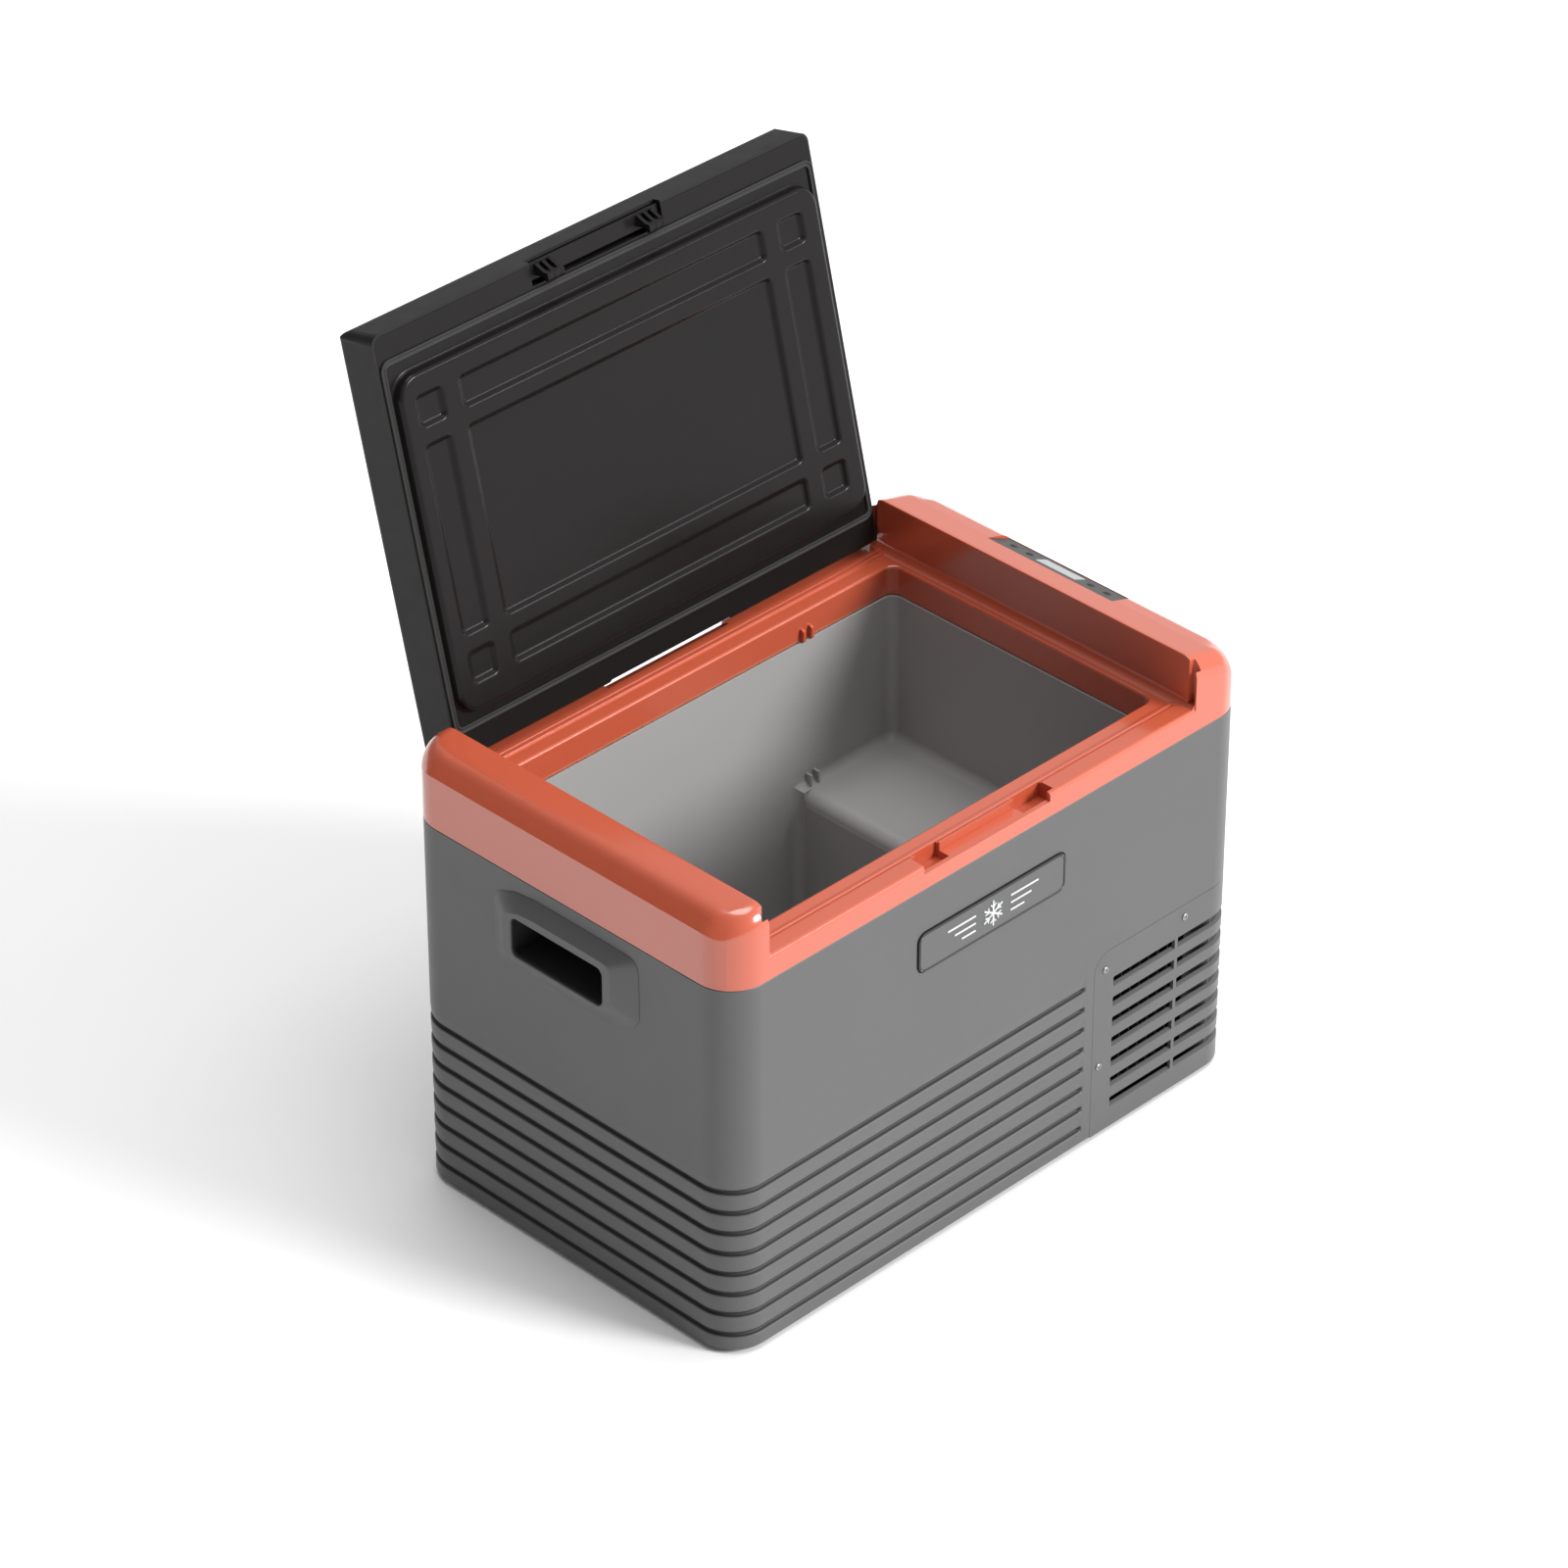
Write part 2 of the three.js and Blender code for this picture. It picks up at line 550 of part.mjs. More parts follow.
function makeLiner() {
  const x0 = LID.x0 + LID_WALL + GAP;
  const x1 = LID.x1 - LID_WALL - GAP;
  const plate = prismZ(rounded(x0, x1, LID.y0 + LID_WALL + GAP, 178.6, 3, 2), LID.z0, LID.z0 + 2.5);
  const plug = prismZ(rounded(PLUG.x0, PLUG.x1, -PLUG.y, PLUG.y, PLUG.r), PLUG.z, LID.z0 + 1);
  const hollow = prismZ(rounded(PLUG.x0 + 3, PLUG.x1 - 3, -PLUG.y + 3, PLUG.y - 3, PLUG.r - 3), 367.3, 380);
  const latchBox = box(RECESS.x0 - 2, RECESS.x1 + 2, -179.7, -160.5, LID.z0, 397);
  const rearLip = box(REAR_GAP.x0 - 2, REAR_GAP.x1 + 2, 173.4, 175.4, LID.z0, 381);
  const voids = [
    box(RECESS.x0, RECESS.x1, -200, -162.5, 360, 395),
    cylinder('x', 2.5, [RECESS.x0 - 5, -LATCH_Y, LATCH_Z], [RECESS.x1 + 5, -LATCH_Y, LATCH_Z], 12),
  ];
  const cols = [[-210, -185], [-165, 165], [185, 210]];
  const rows = [[-121, -97], [-80, 80], [97, 121]];
  const pockets = [];
  for (const [a0, a1] of cols) {
    for (const [b0, b1] of rows) {
      const outline = rounded(a0 - 14.5, a1 - 14.5, b0 - 2.5, b1 - 2.5, 3, 2);
      pockets.push(prismZ(outline, PLUG.z - 5, PLUG.z + 3));
    }
  }
  const tray = plate.add(plug).subtract(hollow);
  return cutAll(joined([tray, latchBox, rearLip]), [...voids, ...pockets]);
}

function makeGasket() {
  const outer = rounded(-248.1, 223.8, -160, 158, 8, 3);
  const inner = rounded(-242.7, 218.4, -154.6, 152.6, 5, 3);
  const ring = prismZ(outer, 368.7, LID.z0 - GAP).subtract(prismZ(inner, 360, 380));
  const lip = prismZ(rounded(-246.4, 222.1, -158.3, 156.3, 7, 3), 360, 369.4);
  const lipInner = prismZ(rounded(-244.4, 220.1, -156.3, 154.3, 6, 3), 350, 370);
  return ring.subtract(lip.subtract(lipInner));
}

function makeLidFoam() {
  const block = lidBlock(LID_WALL + 0.6, 373.7);
  const key = prismZ(rounded(PLUG.x0 + 3.4, PLUG.x1 - 3.4, -PLUG.y + 3.4, PLUG.y - 3.4, 16, 3), 367.7, 375);
  const cuts = [latchWindow(2.4, 160.1, 360, 397.4), rearWindow(2.6, 172.8, 381.6)];
  cuts.push(box(205, 240, 171.6, 200, 360, 385.4));
  cuts.push(box(-260, -230.6, 171.6, 200, 360, 385.4));
  cuts.push(box(-400, 400, 178, 200, 360, 420));
  return cutAll(block.add(key), cuts);
}

function makeHingePin(x0, x1) {
  return cylinder('x', 2.5, [x0, HINGE_Y, HINGE_Z], [x1, HINGE_Y, HINGE_Z], 20);
}

// Lever bar in the lid's front window, with two ribbed hooks; points are distance forward and height
function makeLatch() {
  const toe = 359;
  const flip = (points) => points.map(([y, z]) => [-y, z]);
  const bar = prismX(flip([[180, 374], [180, 376.3], [177.5, 376.3], [177.5, 383], [178.3, 384], [178.3, 388.5],
    [174, 392.5], [169, 392.5], [165.5, 388], [165.5, 380], [167, 376.3], [166, 376.3], [166, 374]]),
  RECESS.x0 + 1, RECESS.x1 - 1);
  const shaft = cylinder('x', 2.1, [RECESS.x0 - 1.8, -LATCH_Y, LATCH_Z], [RECESS.x1 + 1.8, -LATCH_Y, LATCH_Z], 12);
  const rib = flip([[176.5, 377], [178, 375], [178, 372.5], [172.4, 363.5], [172.4, toe + 1], [171.2, toe],
    [167, toe], [165, toe + 1.5], [165, toe + 3.5], [168.6, toe + 6.5], [168.6, 377]]);
  const web = flip([[172.2, 375], [172.2, toe + 1.4], [170.4, toe + 1.4], [170.4, 375]]);
  const nose = flip([[171.2, toe + 0.3], [167, toe + 0.3], [165.3, toe + 1.7], [165.3, toe + 3.4], [172, toe + 3.4],
    [172, toe + 1.2]]);
  const hooks = [];
  for (const x of HOOK_X) {
    for (const step of [-1, 0, 1]) {
      const middle = x + step * (HOOK_W / 2 - 1.6);
      hooks.push(prismX(rib, middle - 1.6, middle + 1.6));
    }
    for (const bridge of [web, nose]) hooks.push(prismX(bridge, x - HOOK_W / 2, x + HOOK_W / 2));
  }
  return joined([bar, shaft, ...hooks]);
}

function makeCompressor() {
  const { x, y, r } = PUMP;
  const profile = [[0, 20], [r - 6, 20], [r, 27], [r, 62], [r + 2.5, 63], [r + 2.5, 68], [r, 69], [r, 92],
    [r - 7, 106], [r - 22, 114], [0, 116]];
  const shell = turned(profile, 24, x, y, 0);
  const plate = box(x - 58, x + 58, y - 46, y + 46, 16, 21);
  const holes = [];
  for (const [dx, dy] of [[-50, -38], [50, -38], [-50, 38], [50, 38]]) {
    holes.push(cylinder('z', 4.4, [x + dx, y + dy, 10], [x + dx, y + dy, 25], 12));
  }
  const terminal = box(x - 14, x + 14, y + r - 6, y + r + 12, 50, 84);
  return cutAll(shell.add(plate), holes).add(terminal);
}

function makeMount(x, y) {
  const profile = [[0, 3.3], [8, 3.3], [8, 15.7], [4, 15.7], [4, 21.3], [6.5, 21.3], [5, 25], [0, 25]];
  return turned(profile, 12, x, y, 0);
}

function makeCondenser() {
  const parts = [];
  for (let k = 0; k < 10; k += 1) {
    const x = 156 + k * 11.2;
    parts.push(box(x, x + 1, -168, -144, 24, 146));
  }
  for (const z of [45, 85, 125]) {
    parts.push(cylinder('x', 3.5, [153, -156, z], [262, -156, z], 8));
  }
  parts.push(box(260, 263, -160, -152, 40, 130));
  return joined(parts);
}

function makeShroud() {
  const { x, z, y0, y1, half, bore } = FAN;
  const frame = box(x - half, x + half, y0, y1, z - half, z + half);
  const ring = frame.subtract(cylinder('y', bore, [x, y0 - 1, z], [x, y1 + 1, z], 28));
  const hub = cylinder('y', 16, [x, y0, z], [x, y0 + 3, z], 20);
  const arms = [0, 120, 240].map((turn) => box(-2, 2, y0, y0 + 3, 10, bore + 1.5).rotate([0, turn, 0])
    .translate([x, 0, z]));
  return joined([ring, hub, ...arms]);
}

function makeRotor() {
  const { x, z, y0 } = FAN;
  const hub = cylinder('y', 17, [0, y0 + 3.6, 0], [0, y0 + 22, 0], 20);
  const blades = [];
  for (let k = 0; k < 7; k += 1) {
    const blade = box(-1, 1, -9, 9, 14, 48).rotate([0, 0, 38]).translate([0, y0 + 13, 0]);
    blades.push(blade.rotate([0, (360 / 7) * k, 0]));
  }
  return joined([hub, ...blades]).translate([x, 0, z]);
}

function makeController() {
  const body = box(160, 238, 118, 158, 24, 104);
  const fins = [];
  for (let k = 0; k < 7; k += 1) fins.push(box(163 + 11 * k, 166 + 11 * k, 158, 168, 28, 100));
  return joined([body, ...fins]);
}

function makeBracket() {
  const foot = box(160, 233.5, 112, 162, 3.3, 5.3);
  const stands = [162, 226].map((x) => box(x, x + 6, 120, 156, 5, 23.7));
  return joined([foot, ...stands]);
}

function makeDrier() {
  const profile = [[0, 0], [2.5, 0], [2.5, 8], [9, 16], [9, 76], [2.5, 84], [2.5, 92], [0, 92]];
  return turned(profile, 14, 166, -92, 30);
}

// --- Looks and assembly -----------------------------------------------------------------
const CASE_GREY = { color: 0x5b5d5f, roughness: 0.7 };
const CORAL = { color: 0xd9694f, roughness: 0.35 };
const BLACK = { color: 0x1b1a19, roughness: 0.5 };
const TUB_GREY = { color: 0x8c8e8e, roughness: 0.55 };
const RUBBER = { color: 0x171717, roughness: 0.9 };
const STEEL = { color: 0xb4b7ba, roughness: 0.35, metalness: 1 };
const COPPER = { color: 0xb87046, roughness: 0.3, metalness: 1 };
const FOAM = { color: 0xe3d6a8, roughness: 0.95 };

add('outer_case', makeCase(), CASE_GREY);
add('vent_grille', makeVent(), CASE_GREY);
VENT_SCREWS.forEach((screw, i) => add(`vent_screw_${i + 1}`, makeScrew(screw), STEEL));
add('base_pan', makePan(), BLACK);
FEET.forEach(([x, y], i) => add(`foot_${i + 1}`, makeFoot(x, y), RUBBER));
add('inner_tub', makeTub(), TUB_GREY);
add('evaporator_plate', makeEvaporator(), STEEL);
add('insulation_foam', makeFoam(), FOAM);
add('top_rim', makeRim(), CORAL);
add('right_handle', makeHandle(), CASE_GREY);
add('left_handle', makeHandle().mirror([1, 0, 0]), CASE_GREY);
add('badge_plate', makeBadge(), CASE_GREY);
add('control_panel', makePanel(), BLACK);
add('display_lens', panelBox(8, -22, 22, -2.2, 0.2), { color: 0x6f7374, roughness: 0.15 });
BUTTON_Y.forEach((y, i) => add(`button_${i + 1}`, makeButton(y), RUBBER));
add('control_pcb', makePcb(), { color: 0x1f5a35, roughness: 0.6 });
add('dc_inlet', makeInlet(), BLACK);

add('compressor', makeCompressor(), BLACK);
let mountNumber = 0;
for (const dx of [-50, 50]) {
  for (const dy of [-38, 38]) {
    mountNumber += 1;
    add(`compressor_mount_${mountNumber}`, makeMount(PUMP.x + dx, PUMP.y + dy), RUBBER);
  }
}
add('condenser_coil', makeCondenser(), STEEL);
add('fan_shroud', makeShroud(), BLACK);
add('fan_rotor', makeRotor(), BLACK);
add('controller_box', makeController(), STEEL);
add('controller_bracket', makeBracket(), STEEL);
add('filter_drier', makeDrier(), COPPER);
const pipeRun = [[212, 10, 116.5], [212, 8, 128], [204, -30, 142], [174, -84, 142], [166, -92, 133], [166, -92, 122.6]];
add('discharge_pipe', pipe(pipeRun, 2.4, 20), COPPER);

add('lid_shell', swungOpen(makeLidShell()), BLACK);
add('lid_liner', swungOpen(makeLiner()), BLACK);
add('lid_gasket', swungOpen(makeGasket()), RUBBER);
add('lid_foam', swungOpen(makeLidFoam()), FOAM);
add('hinge_pin_right', swungOpen(makeHingePin(207, 234.6)), STEEL);
add('hinge_pin_left', swungOpen(makeHingePin(-258.2, -232)), STEEL);
add('front_latch', swungOpen(makeLatch()), BLACK);

export default group;
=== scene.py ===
import json
import math
import bmesh
import bpy
import numpy as np
from mathutils import Matrix, Vector


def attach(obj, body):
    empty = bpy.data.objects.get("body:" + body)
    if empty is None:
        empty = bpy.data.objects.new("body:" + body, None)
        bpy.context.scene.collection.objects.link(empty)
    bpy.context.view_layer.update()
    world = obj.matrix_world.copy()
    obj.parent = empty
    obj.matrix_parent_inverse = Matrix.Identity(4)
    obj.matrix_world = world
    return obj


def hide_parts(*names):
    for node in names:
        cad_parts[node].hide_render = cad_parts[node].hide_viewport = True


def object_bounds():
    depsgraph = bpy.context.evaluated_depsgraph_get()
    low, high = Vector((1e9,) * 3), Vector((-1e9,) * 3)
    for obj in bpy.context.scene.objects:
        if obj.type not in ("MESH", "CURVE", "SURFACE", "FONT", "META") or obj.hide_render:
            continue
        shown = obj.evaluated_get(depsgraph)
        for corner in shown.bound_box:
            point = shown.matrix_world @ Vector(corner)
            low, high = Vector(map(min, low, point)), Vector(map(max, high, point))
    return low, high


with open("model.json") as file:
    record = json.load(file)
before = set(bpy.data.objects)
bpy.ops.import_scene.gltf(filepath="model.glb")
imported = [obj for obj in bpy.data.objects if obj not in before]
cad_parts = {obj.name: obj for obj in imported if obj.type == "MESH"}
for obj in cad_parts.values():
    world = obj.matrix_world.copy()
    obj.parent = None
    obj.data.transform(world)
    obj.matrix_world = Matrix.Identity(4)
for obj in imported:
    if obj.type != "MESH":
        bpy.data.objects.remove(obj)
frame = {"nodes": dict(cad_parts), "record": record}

CAD_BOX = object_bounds()
NODES = frame["nodes"]
MM = 0.001

# Driving sizes, millimetres
FAR = 400.0
HALF_X, HALF_Y, CORNER_R, CORNER_STEPS = 295.0, 182.5, 34.0, 14
CASE_TOP, WALL = 348.0, 4.0
GROOVES = [155.5 - 20 * k for k in range(8)]
LAND_Z, SEAT_Z, BAND_Z, RIM_Z0 = 370.0, 368.0, 341.0, 348.3
BAY_X0, BAY_X1 = -253.5, 230.0
OPEN_X0, OPEN_X1, OPEN_Y, OPEN_R = -243.0, 219.0, 145.5, 9.0
DOME_IN, DOME_DROP = 16.0, 18.6
RECESS_X0, RECESS_X1 = -84.0, 59.0
REAR_X0, REAR_X1 = -81.0, 56.0
WINDOW_TOP, PIN_HOLE_R = 378.5, 2.8
HINGE_Y, HINGE_Z, LID_OPEN = 177.5, 379.5, math.radians(103.5)
LID_X0, LID_X1, LID_Y0, LID_Y1, LID_Z0, LID_Z1 = -250.8, 225.2, -182.5, 181.5, 370.8, 413.5
LID_CREASE, LID_ROLL_Y, LID_ROLL_Z, LID_CORNER_R, LID_WALL = 398.5, 16, 15, 9, 2.5
PLUG_Z = 361.8
PANEL_AT, PANEL_TILT = (270.1, 4.0, 402.25), math.radians(24.4)
SEAT_DEPTH, SKIN, BLADE = 2.0, 1.7, 3.4
SLOT_TOP, SLOT_PITCH, SLOT_H, SLOT_COUNT = 151.3, 20.27, 9.8, 7
LIP_DEPTH, LIP_RISE, CUT_DEPTH = 3.5, 1.75, 24
BUTTON_YS = (-52, -34, 34, 52)
BADGE_RECT = (-90, 78, 270, 307, 8)
BADGE_EDGE, BADGE_FACE, BADGE_GAP = 2.1, 1.1, 1.2
HAND_Y, HAND_Z = 56, (277.5, 322)
SCREW_HOLE_R = 1.6
EMBLEM_X, EMBLEM_Z = -6, 288.5
LATCH_Y, LATCH_Z, HOOK_XS = 171.5, 389, (-67.7, 43.1)
LINER_X, LINER_Y = -14.5, -2.5
POCKET_COLS, POCKET_ROWS = ((-210, -185), (-165, 165), (185, 210)), ((-121, -97), (-80, 80), (97, 121))


# ------------------------------------------------------------------ mesh helpers (mm)
def make(name, verts, faces):
    """A mesh object with doubled points welded and its faces turned outwards."""
    mesh = bpy.data.meshes.new(name)
    mesh.from_pydata([tuple(float(c) for c in v) for v in verts], [], faces)
    obj = bpy.data.objects.new(name, mesh)
    bpy.context.scene.collection.objects.link(obj)
    bm = bmesh.new()
    bm.from_mesh(mesh)
    bmesh.ops.remove_doubles(bm, verts=bm.verts, dist=0.0005)
    bmesh.ops.dissolve_degenerate(bm, dist=0.0002, edges=bm.edges)
    bmesh.ops.recalc_face_normals(bm, faces=bm.faces)
    bm.to_mesh(mesh)
    bm.free()
    return obj


def drop(obj):
    """Deletes an object and its mesh."""
    mesh = obj.data
    bpy.data.objects.remove(obj)
    bpy.data.meshes.remove(mesh)


def loft(name, loops):
    """A closed skin through loops of equal length, capped at both ends."""
    n = len(loops[0])
    verts = [p for loop in loops for p in loop]
    faces = []
    for k in range(len(loops) - 1):
        for i in range(n):
            j = (i + 1) % n
            faces.append((k * n + i, k * n + j, (k + 1) * n + j, (k + 1) * n + i))
    faces.append(tuple(range(n)))
    faces.append(tuple((len(loops) - 1) * n + i for i in range(n)))
    return make(name, verts, faces)


def ring_skin(name, loops):
    """A skin through loops of equal length whose last loop joins its first, with no caps."""
    n = len(loops[0])
    verts = [p for loop in loops for p in loop]
    faces = []
    for k in range(len(loops)):
        m = (k + 1) % len(loops)
        for i in range(n):
            j = (i + 1) % n
            faces.append((k * n + i, k * n + j, m * n + j, m * n + i))
    return make(name, verts, faces)


def circle(radius, seg):
    """Points round a circle about the origin."""
    turns = [2 * math.pi * i / seg for i in range(seg)]
    return [(radius * math.cos(a), radius * math.sin(a)) for a in turns]


def rrect(x0, x1, y0, y1, r, seg=8):
    """A rectangle's outline with rounded corners."""
    points = []
    centres = ((x1 - r, y1 - r, 0), (x0 + r, y1 - r, 90), (x0 + r, y0 + r, 180), (x1 - r, y0 + r, 270))
    for cx, cy, start in centres:
        for i in range(seg + 1):
            a = math.radians(start + 90 * i / seg)
            points.append((cx + r * math.cos(a), cy + r * math.sin(a)))
    return points


def grown(rect, d, seg=8):
    """The rounded rectangle (x0, x1, y0, y1, r) offset outwards by d."""
    x0, x1, y0, y1, r = rect
    return rrect(x0 - d, x1 + d, y0 - d, y1 + d, max(r + d, 0.05), seg)


def level(rect, d, z, seg=8):
    """grown() as a loop at height z."""
    return [(x, y, z) for x, y in grown(rect, d, seg)]


def prism(name, outline, lo, hi, plane="xy"):
    """An outline in the named plane, drawn out from lo to hi along the third axis."""
    put = {
        "xy": lambda a, b, t: (a, b, t),
        "yz": lambda a, b, t: (t, a, b),
        "xz": lambda a, b, t: (a, t, b),
    }[plane]
    return loft(name, [[put(a, b, t) for a, b in outline] for t in (lo, hi)])


def block(name, x0, x1, y0, y1, z0, z1):
    return prism(name, [(x0, y0), (x1, y0), (x1, y1), (x0, y1)], z0, z1)


def settle(obj):
    """Applies an object's modifiers to its mesh."""
    graph = bpy.context.evaluated_depsgraph_get()
    mesh = bpy.data.meshes.new_from_object(obj.evaluated_get(graph))
    old = obj.data
    obj.modifiers.clear()
    obj.data = mesh
    bpy.data.meshes.remove(old)
    return obj


def csg(obj, how, *tools):
    """Combines the tools with obj by a boolean, then deletes them."""
    for tool in tools:
        mod = obj.modifiers.new("cut", "BOOLEAN")
        mod.operation = how
        mod.solver = "MANIFOLD"
        mod.object = tool
    settle(obj)
    for tool in tools:
        drop(tool)
    return obj


def cut(obj, *tools):
    return csg(obj, "DIFFERENCE", *tools)


def join(obj, *tools):
    return csg(obj, "UNION", *tools)


def bevel(obj, width):
    """Rounds every edge sharper than 35 degrees."""
    mod = obj.modifiers.new("bevel", "BEVEL")
    mod.width = width
    mod.segments = 2
    mod.limit_method = "ANGLE"
    mod.angle_limit = math.radians(35)
    mod.use_clamp_overlap = True
    mod.miter_outer = "MITER_ARC"
    return settle(obj)


def shade(mesh, angle):
    """Smooth shading, with edges sharper than the angle kept crisp."""
    mesh.polygons.foreach_set("use_smooth", [True] * len(mesh.polygons))
    mesh.set_sharp_from_angle(angle=math.radians(angle))


def place(obj, body, slot, *nodes, material, angle=32):
    """Scales a finished mesh to metres, shades it and puts it on its body."""
    obj.data.transform(Matrix.Scale(MM, 4))
    shade(obj.data, angle)
    obj.data.materials.clear()
    obj.data.materials.append(material)
    mod = obj.modifiers.new("normals", "WEIGHTED_NORMAL")
    mod.keep_sharp = True
    mod.weight = 60
    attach(obj, body)
    if nodes:
        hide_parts(*nodes)
    return obj


def swing_open(obj):
    """Turns a piece drawn with the lid shut to the open rest pose."""
    turn = Matrix.Translation((0, HINGE_Y, HINGE_Z)) @ Matrix.Rotation(-LID_OPEN, 4, "X")
    obj.data.transform(turn @ Matrix.Translation((0, -HINGE_Y, -HINGE_Z)))
    return obj


def arc(cx, cy, r, a0, a1, steps):
    """Points on an arc, from angle a0 to a1 in degrees."""
    angles = [math.radians(a0 + (a1 - a0) * i / steps) for i in range(steps + 1)]
    return [(cx + r * math.cos(a), cy + r * math.sin(a)) for a in angles]


def blend_points(a, b, share):
    """The points that lie the given share from a to b and from b to a."""
    near, far = 1 - share, share
    return [(near * a[0] + far * b[0], near * a[1] + far * b[1]),
            (far * a[0] + near * b[0], far * a[1] + near * b[1])]


def chaikin(points):
    """An open line with its corners cut twice; the ends stay."""
    for _ in range(2):
        out = [points[0]]
        for a, b in zip(points[:-1], points[1:]):
            out += blend_points(a, b, 0.25)
        out.append(points[-1])
        points = out
    return points


def chaikin_closed(points):
    """A closed outline with its corners cut twice."""
    for _ in range(2):
        out = []
        for a, b in zip(points, points[1:] + points[:1]):
            out += blend_points(a, b, 0.2)
        points = out
    return points


# ------------------------------------------------------------------ materials
DRIFT_SCALE, PATCH_SCALE = 9.0, 60.0
SCRATCH_STRETCH = (40, 900, 900)


def material(name, color, rough, grain=0.0, grain_scale=1400.0, mottle=0.05, spread=0.06, metal=0.0,
             coat=0.0, specular=0.5, scratch=0.0):
    """Moulded or metal surface: slow colour drift, fine grain bump, uneven gloss and hairline scuffs."""
    mat = bpy.data.materials.new(name)
    mat.use_nodes = True
    nodes, links = mat.node_tree.nodes, mat.node_tree.links
    shader = nodes["Principled BSDF"]
    shader.inputs["Metallic"].default_value = metal
    shader.inputs["Coat Weight"].default_value = coat
    shader.inputs["Coat Roughness"].default_value = 0.12
    shader.inputs["Specular IOR Level"].default_value = specular
    coords = nodes.new("ShaderNodeTexCoord")

    def noise(scale, detail):
        tex = nodes.new("ShaderNodeTexNoise")
        tex.inputs["Scale"].default_value = scale
        tex.inputs["Detail"].default_value = detail
        links.new(coords.outputs["Object"], tex.inputs["Vector"])
        return tex

    drift = noise(DRIFT_SCALE, 3.0)
    mix = nodes.new("ShaderNodeMix")
    mix.data_type = "RGBA"
    links.new(drift.outputs["Fac"], mix.inputs["Factor"])
    mix.inputs["A"].default_value = (*[c * (1 - mottle) for c in color], 1)
    mix.inputs["B"].default_value = (*[min(1, c * (1 + mottle)) for c in color], 1)
    links.new(mix.outputs["Result"], shader.inputs["Base Color"])

    patches = noise(PATCH_SCALE, 4.0)
    span = nodes.new("ShaderNodeMapRange")
    span.inputs["To Min"].default_value = max(0.02, rough - spread)
    span.inputs["To Max"].default_value = min(1, rough + spread)
    links.new(patches.outputs["Fac"], span.inputs["Value"])
    links.new(span.outputs["Result"], shader.inputs["Roughness"])

    height = None
    if grain > 0:
        fine = noise(grain_scale, 2.0)
        bump = nodes.new("ShaderNodeBump")
        bump.inputs["Strength"].default_value = grain
        bump.inputs["Distance"].default_value = 0.0002
        links.new(fine.outputs["Fac"], bump.inputs["Height"])
        height = bump
    if scratch > 0:
        marks = nodes.new("ShaderNodeTexNoise")
        stretch = nodes.new("ShaderNodeMapping")
        stretch.inputs["Scale"].default_value = SCRATCH_STRETCH
        links.new(coords.outputs["Object"], stretch.inputs["Vector"])
        links.new(stretch.outputs["Vector"], marks.inputs["Vector"])
        hair = nodes.new("ShaderNodeBump")
        hair.inputs["Strength"].default_value = scratch
        hair.inputs["Distance"].default_value = 0.0001
        links.new(marks.outputs["Fac"], hair.inputs["Height"])
        if height:
            links.new(height.outputs["Normal"], hair.inputs["Normal"])
        height = hair
    if height:
        links.new(height.outputs["Normal"], shader.inputs["Normal"])
    return mat


CASE = material("case_plastic", (0.098, 0.0985, 0.099), 0.40, grain=0.3, grain_scale=1100, mottle=0.05,
                specular=0.35)
# Near-black copy of the case plastic for grooves, vent slots, the badge rim and the case's inner wall:
# painted shade.
PAINTED_SHADE = material("case_plastic_painted_shade", (0.018, 0.018, 0.0182), 0.55, grain=0.3, grain_scale=1100,
                  mottle=0.1)
CORAL = material("rim_plastic", (0.50, 0.090, 0.042), 0.22, grain=0.05, grain_scale=500, mottle=0.03,
                 spread=0.05, coat=0.7, specular=0.6)
LIDGRAIN = material("lid_grained_plastic", (0.011, 0.0102, 0.0100), 0.50, grain=0.35, grain_scale=1000,
                    mottle=0.10, specular=0.22)
LIDBLACK = material("lid_plastic", (0.010, 0.0090, 0.0088), 0.24, grain=0.08, grain_scale=900,
                    mottle=0.12, specular=0.15)
TUBGREY = material("tub_plastic", (0.33, 0.33, 0.328), 0.42, grain=0.15, grain_scale=800, mottle=0.03)
# Dark plastic of the control panel; also put inside the handle mouths as painted shade.
DARK = material("dark_plastic", (0.03, 0.03, 0.031), 0.5, grain=0.3, mottle=0.1)
RUBBER = material("soft_rubber", (0.014, 0.0135, 0.013), 0.7, grain=0.3, grain_scale=1800, mottle=0.12)
STEEL = material("steel", (0.32, 0.32, 0.325), 0.38, metal=1.0, scratch=0.2, mottle=0.06)
ALUMINIUM = material("aluminium", (0.62, 0.63, 0.64), 0.35, metal=1.0, scratch=0.25, mottle=0.05)
COILBLACK = material("coil_coating", (0.012, 0.012, 0.012), 0.55, grain=0.2, mottle=0.1)
COPPER = material("copper", (0.55, 0.25, 0.13), 0.28, metal=1.0, scratch=0.15, mottle=0.12)
BLACKMETAL = material("black_metal", (0.02, 0.02, 0.021), 0.38, grain=0.1, grain_scale=400, mottle=0.1)
FOAMY = material("foam", (0.66, 0.54, 0.30), 0.85, grain=0.6, grain_scale=700, mottle=0.12)
DISPLAY = material("display", (0.22, 0.23, 0.235), 0.16, grain=0.02, mottle=0.03)
BOARD = material("circuit_board", (0.015, 0.10, 0.04), 0.4, grain=0.2, grain_scale=600, mottle=0.15)
MARK = material("printed_marks", (0.62, 0.63, 0.63), 0.5, grain=0.05, mottle=0.04)
FINISH = {
    "case_plastic": CASE,
    "rim_plastic": CORAL,
    "lid_plastic": LIDBLACK,
    "tub_plastic": TUBGREY,
    "dark_plastic": DARK,
    "soft_rubber": RUBBER,
    "steel": STEEL,
    "aluminium": ALUMINIUM,
    "copper": COPPER,
    "black_metal": BLACKMETAL,
    "foam": FOAMY,
    "display": DISPLAY,
    "circuit_board": BOARD,
}
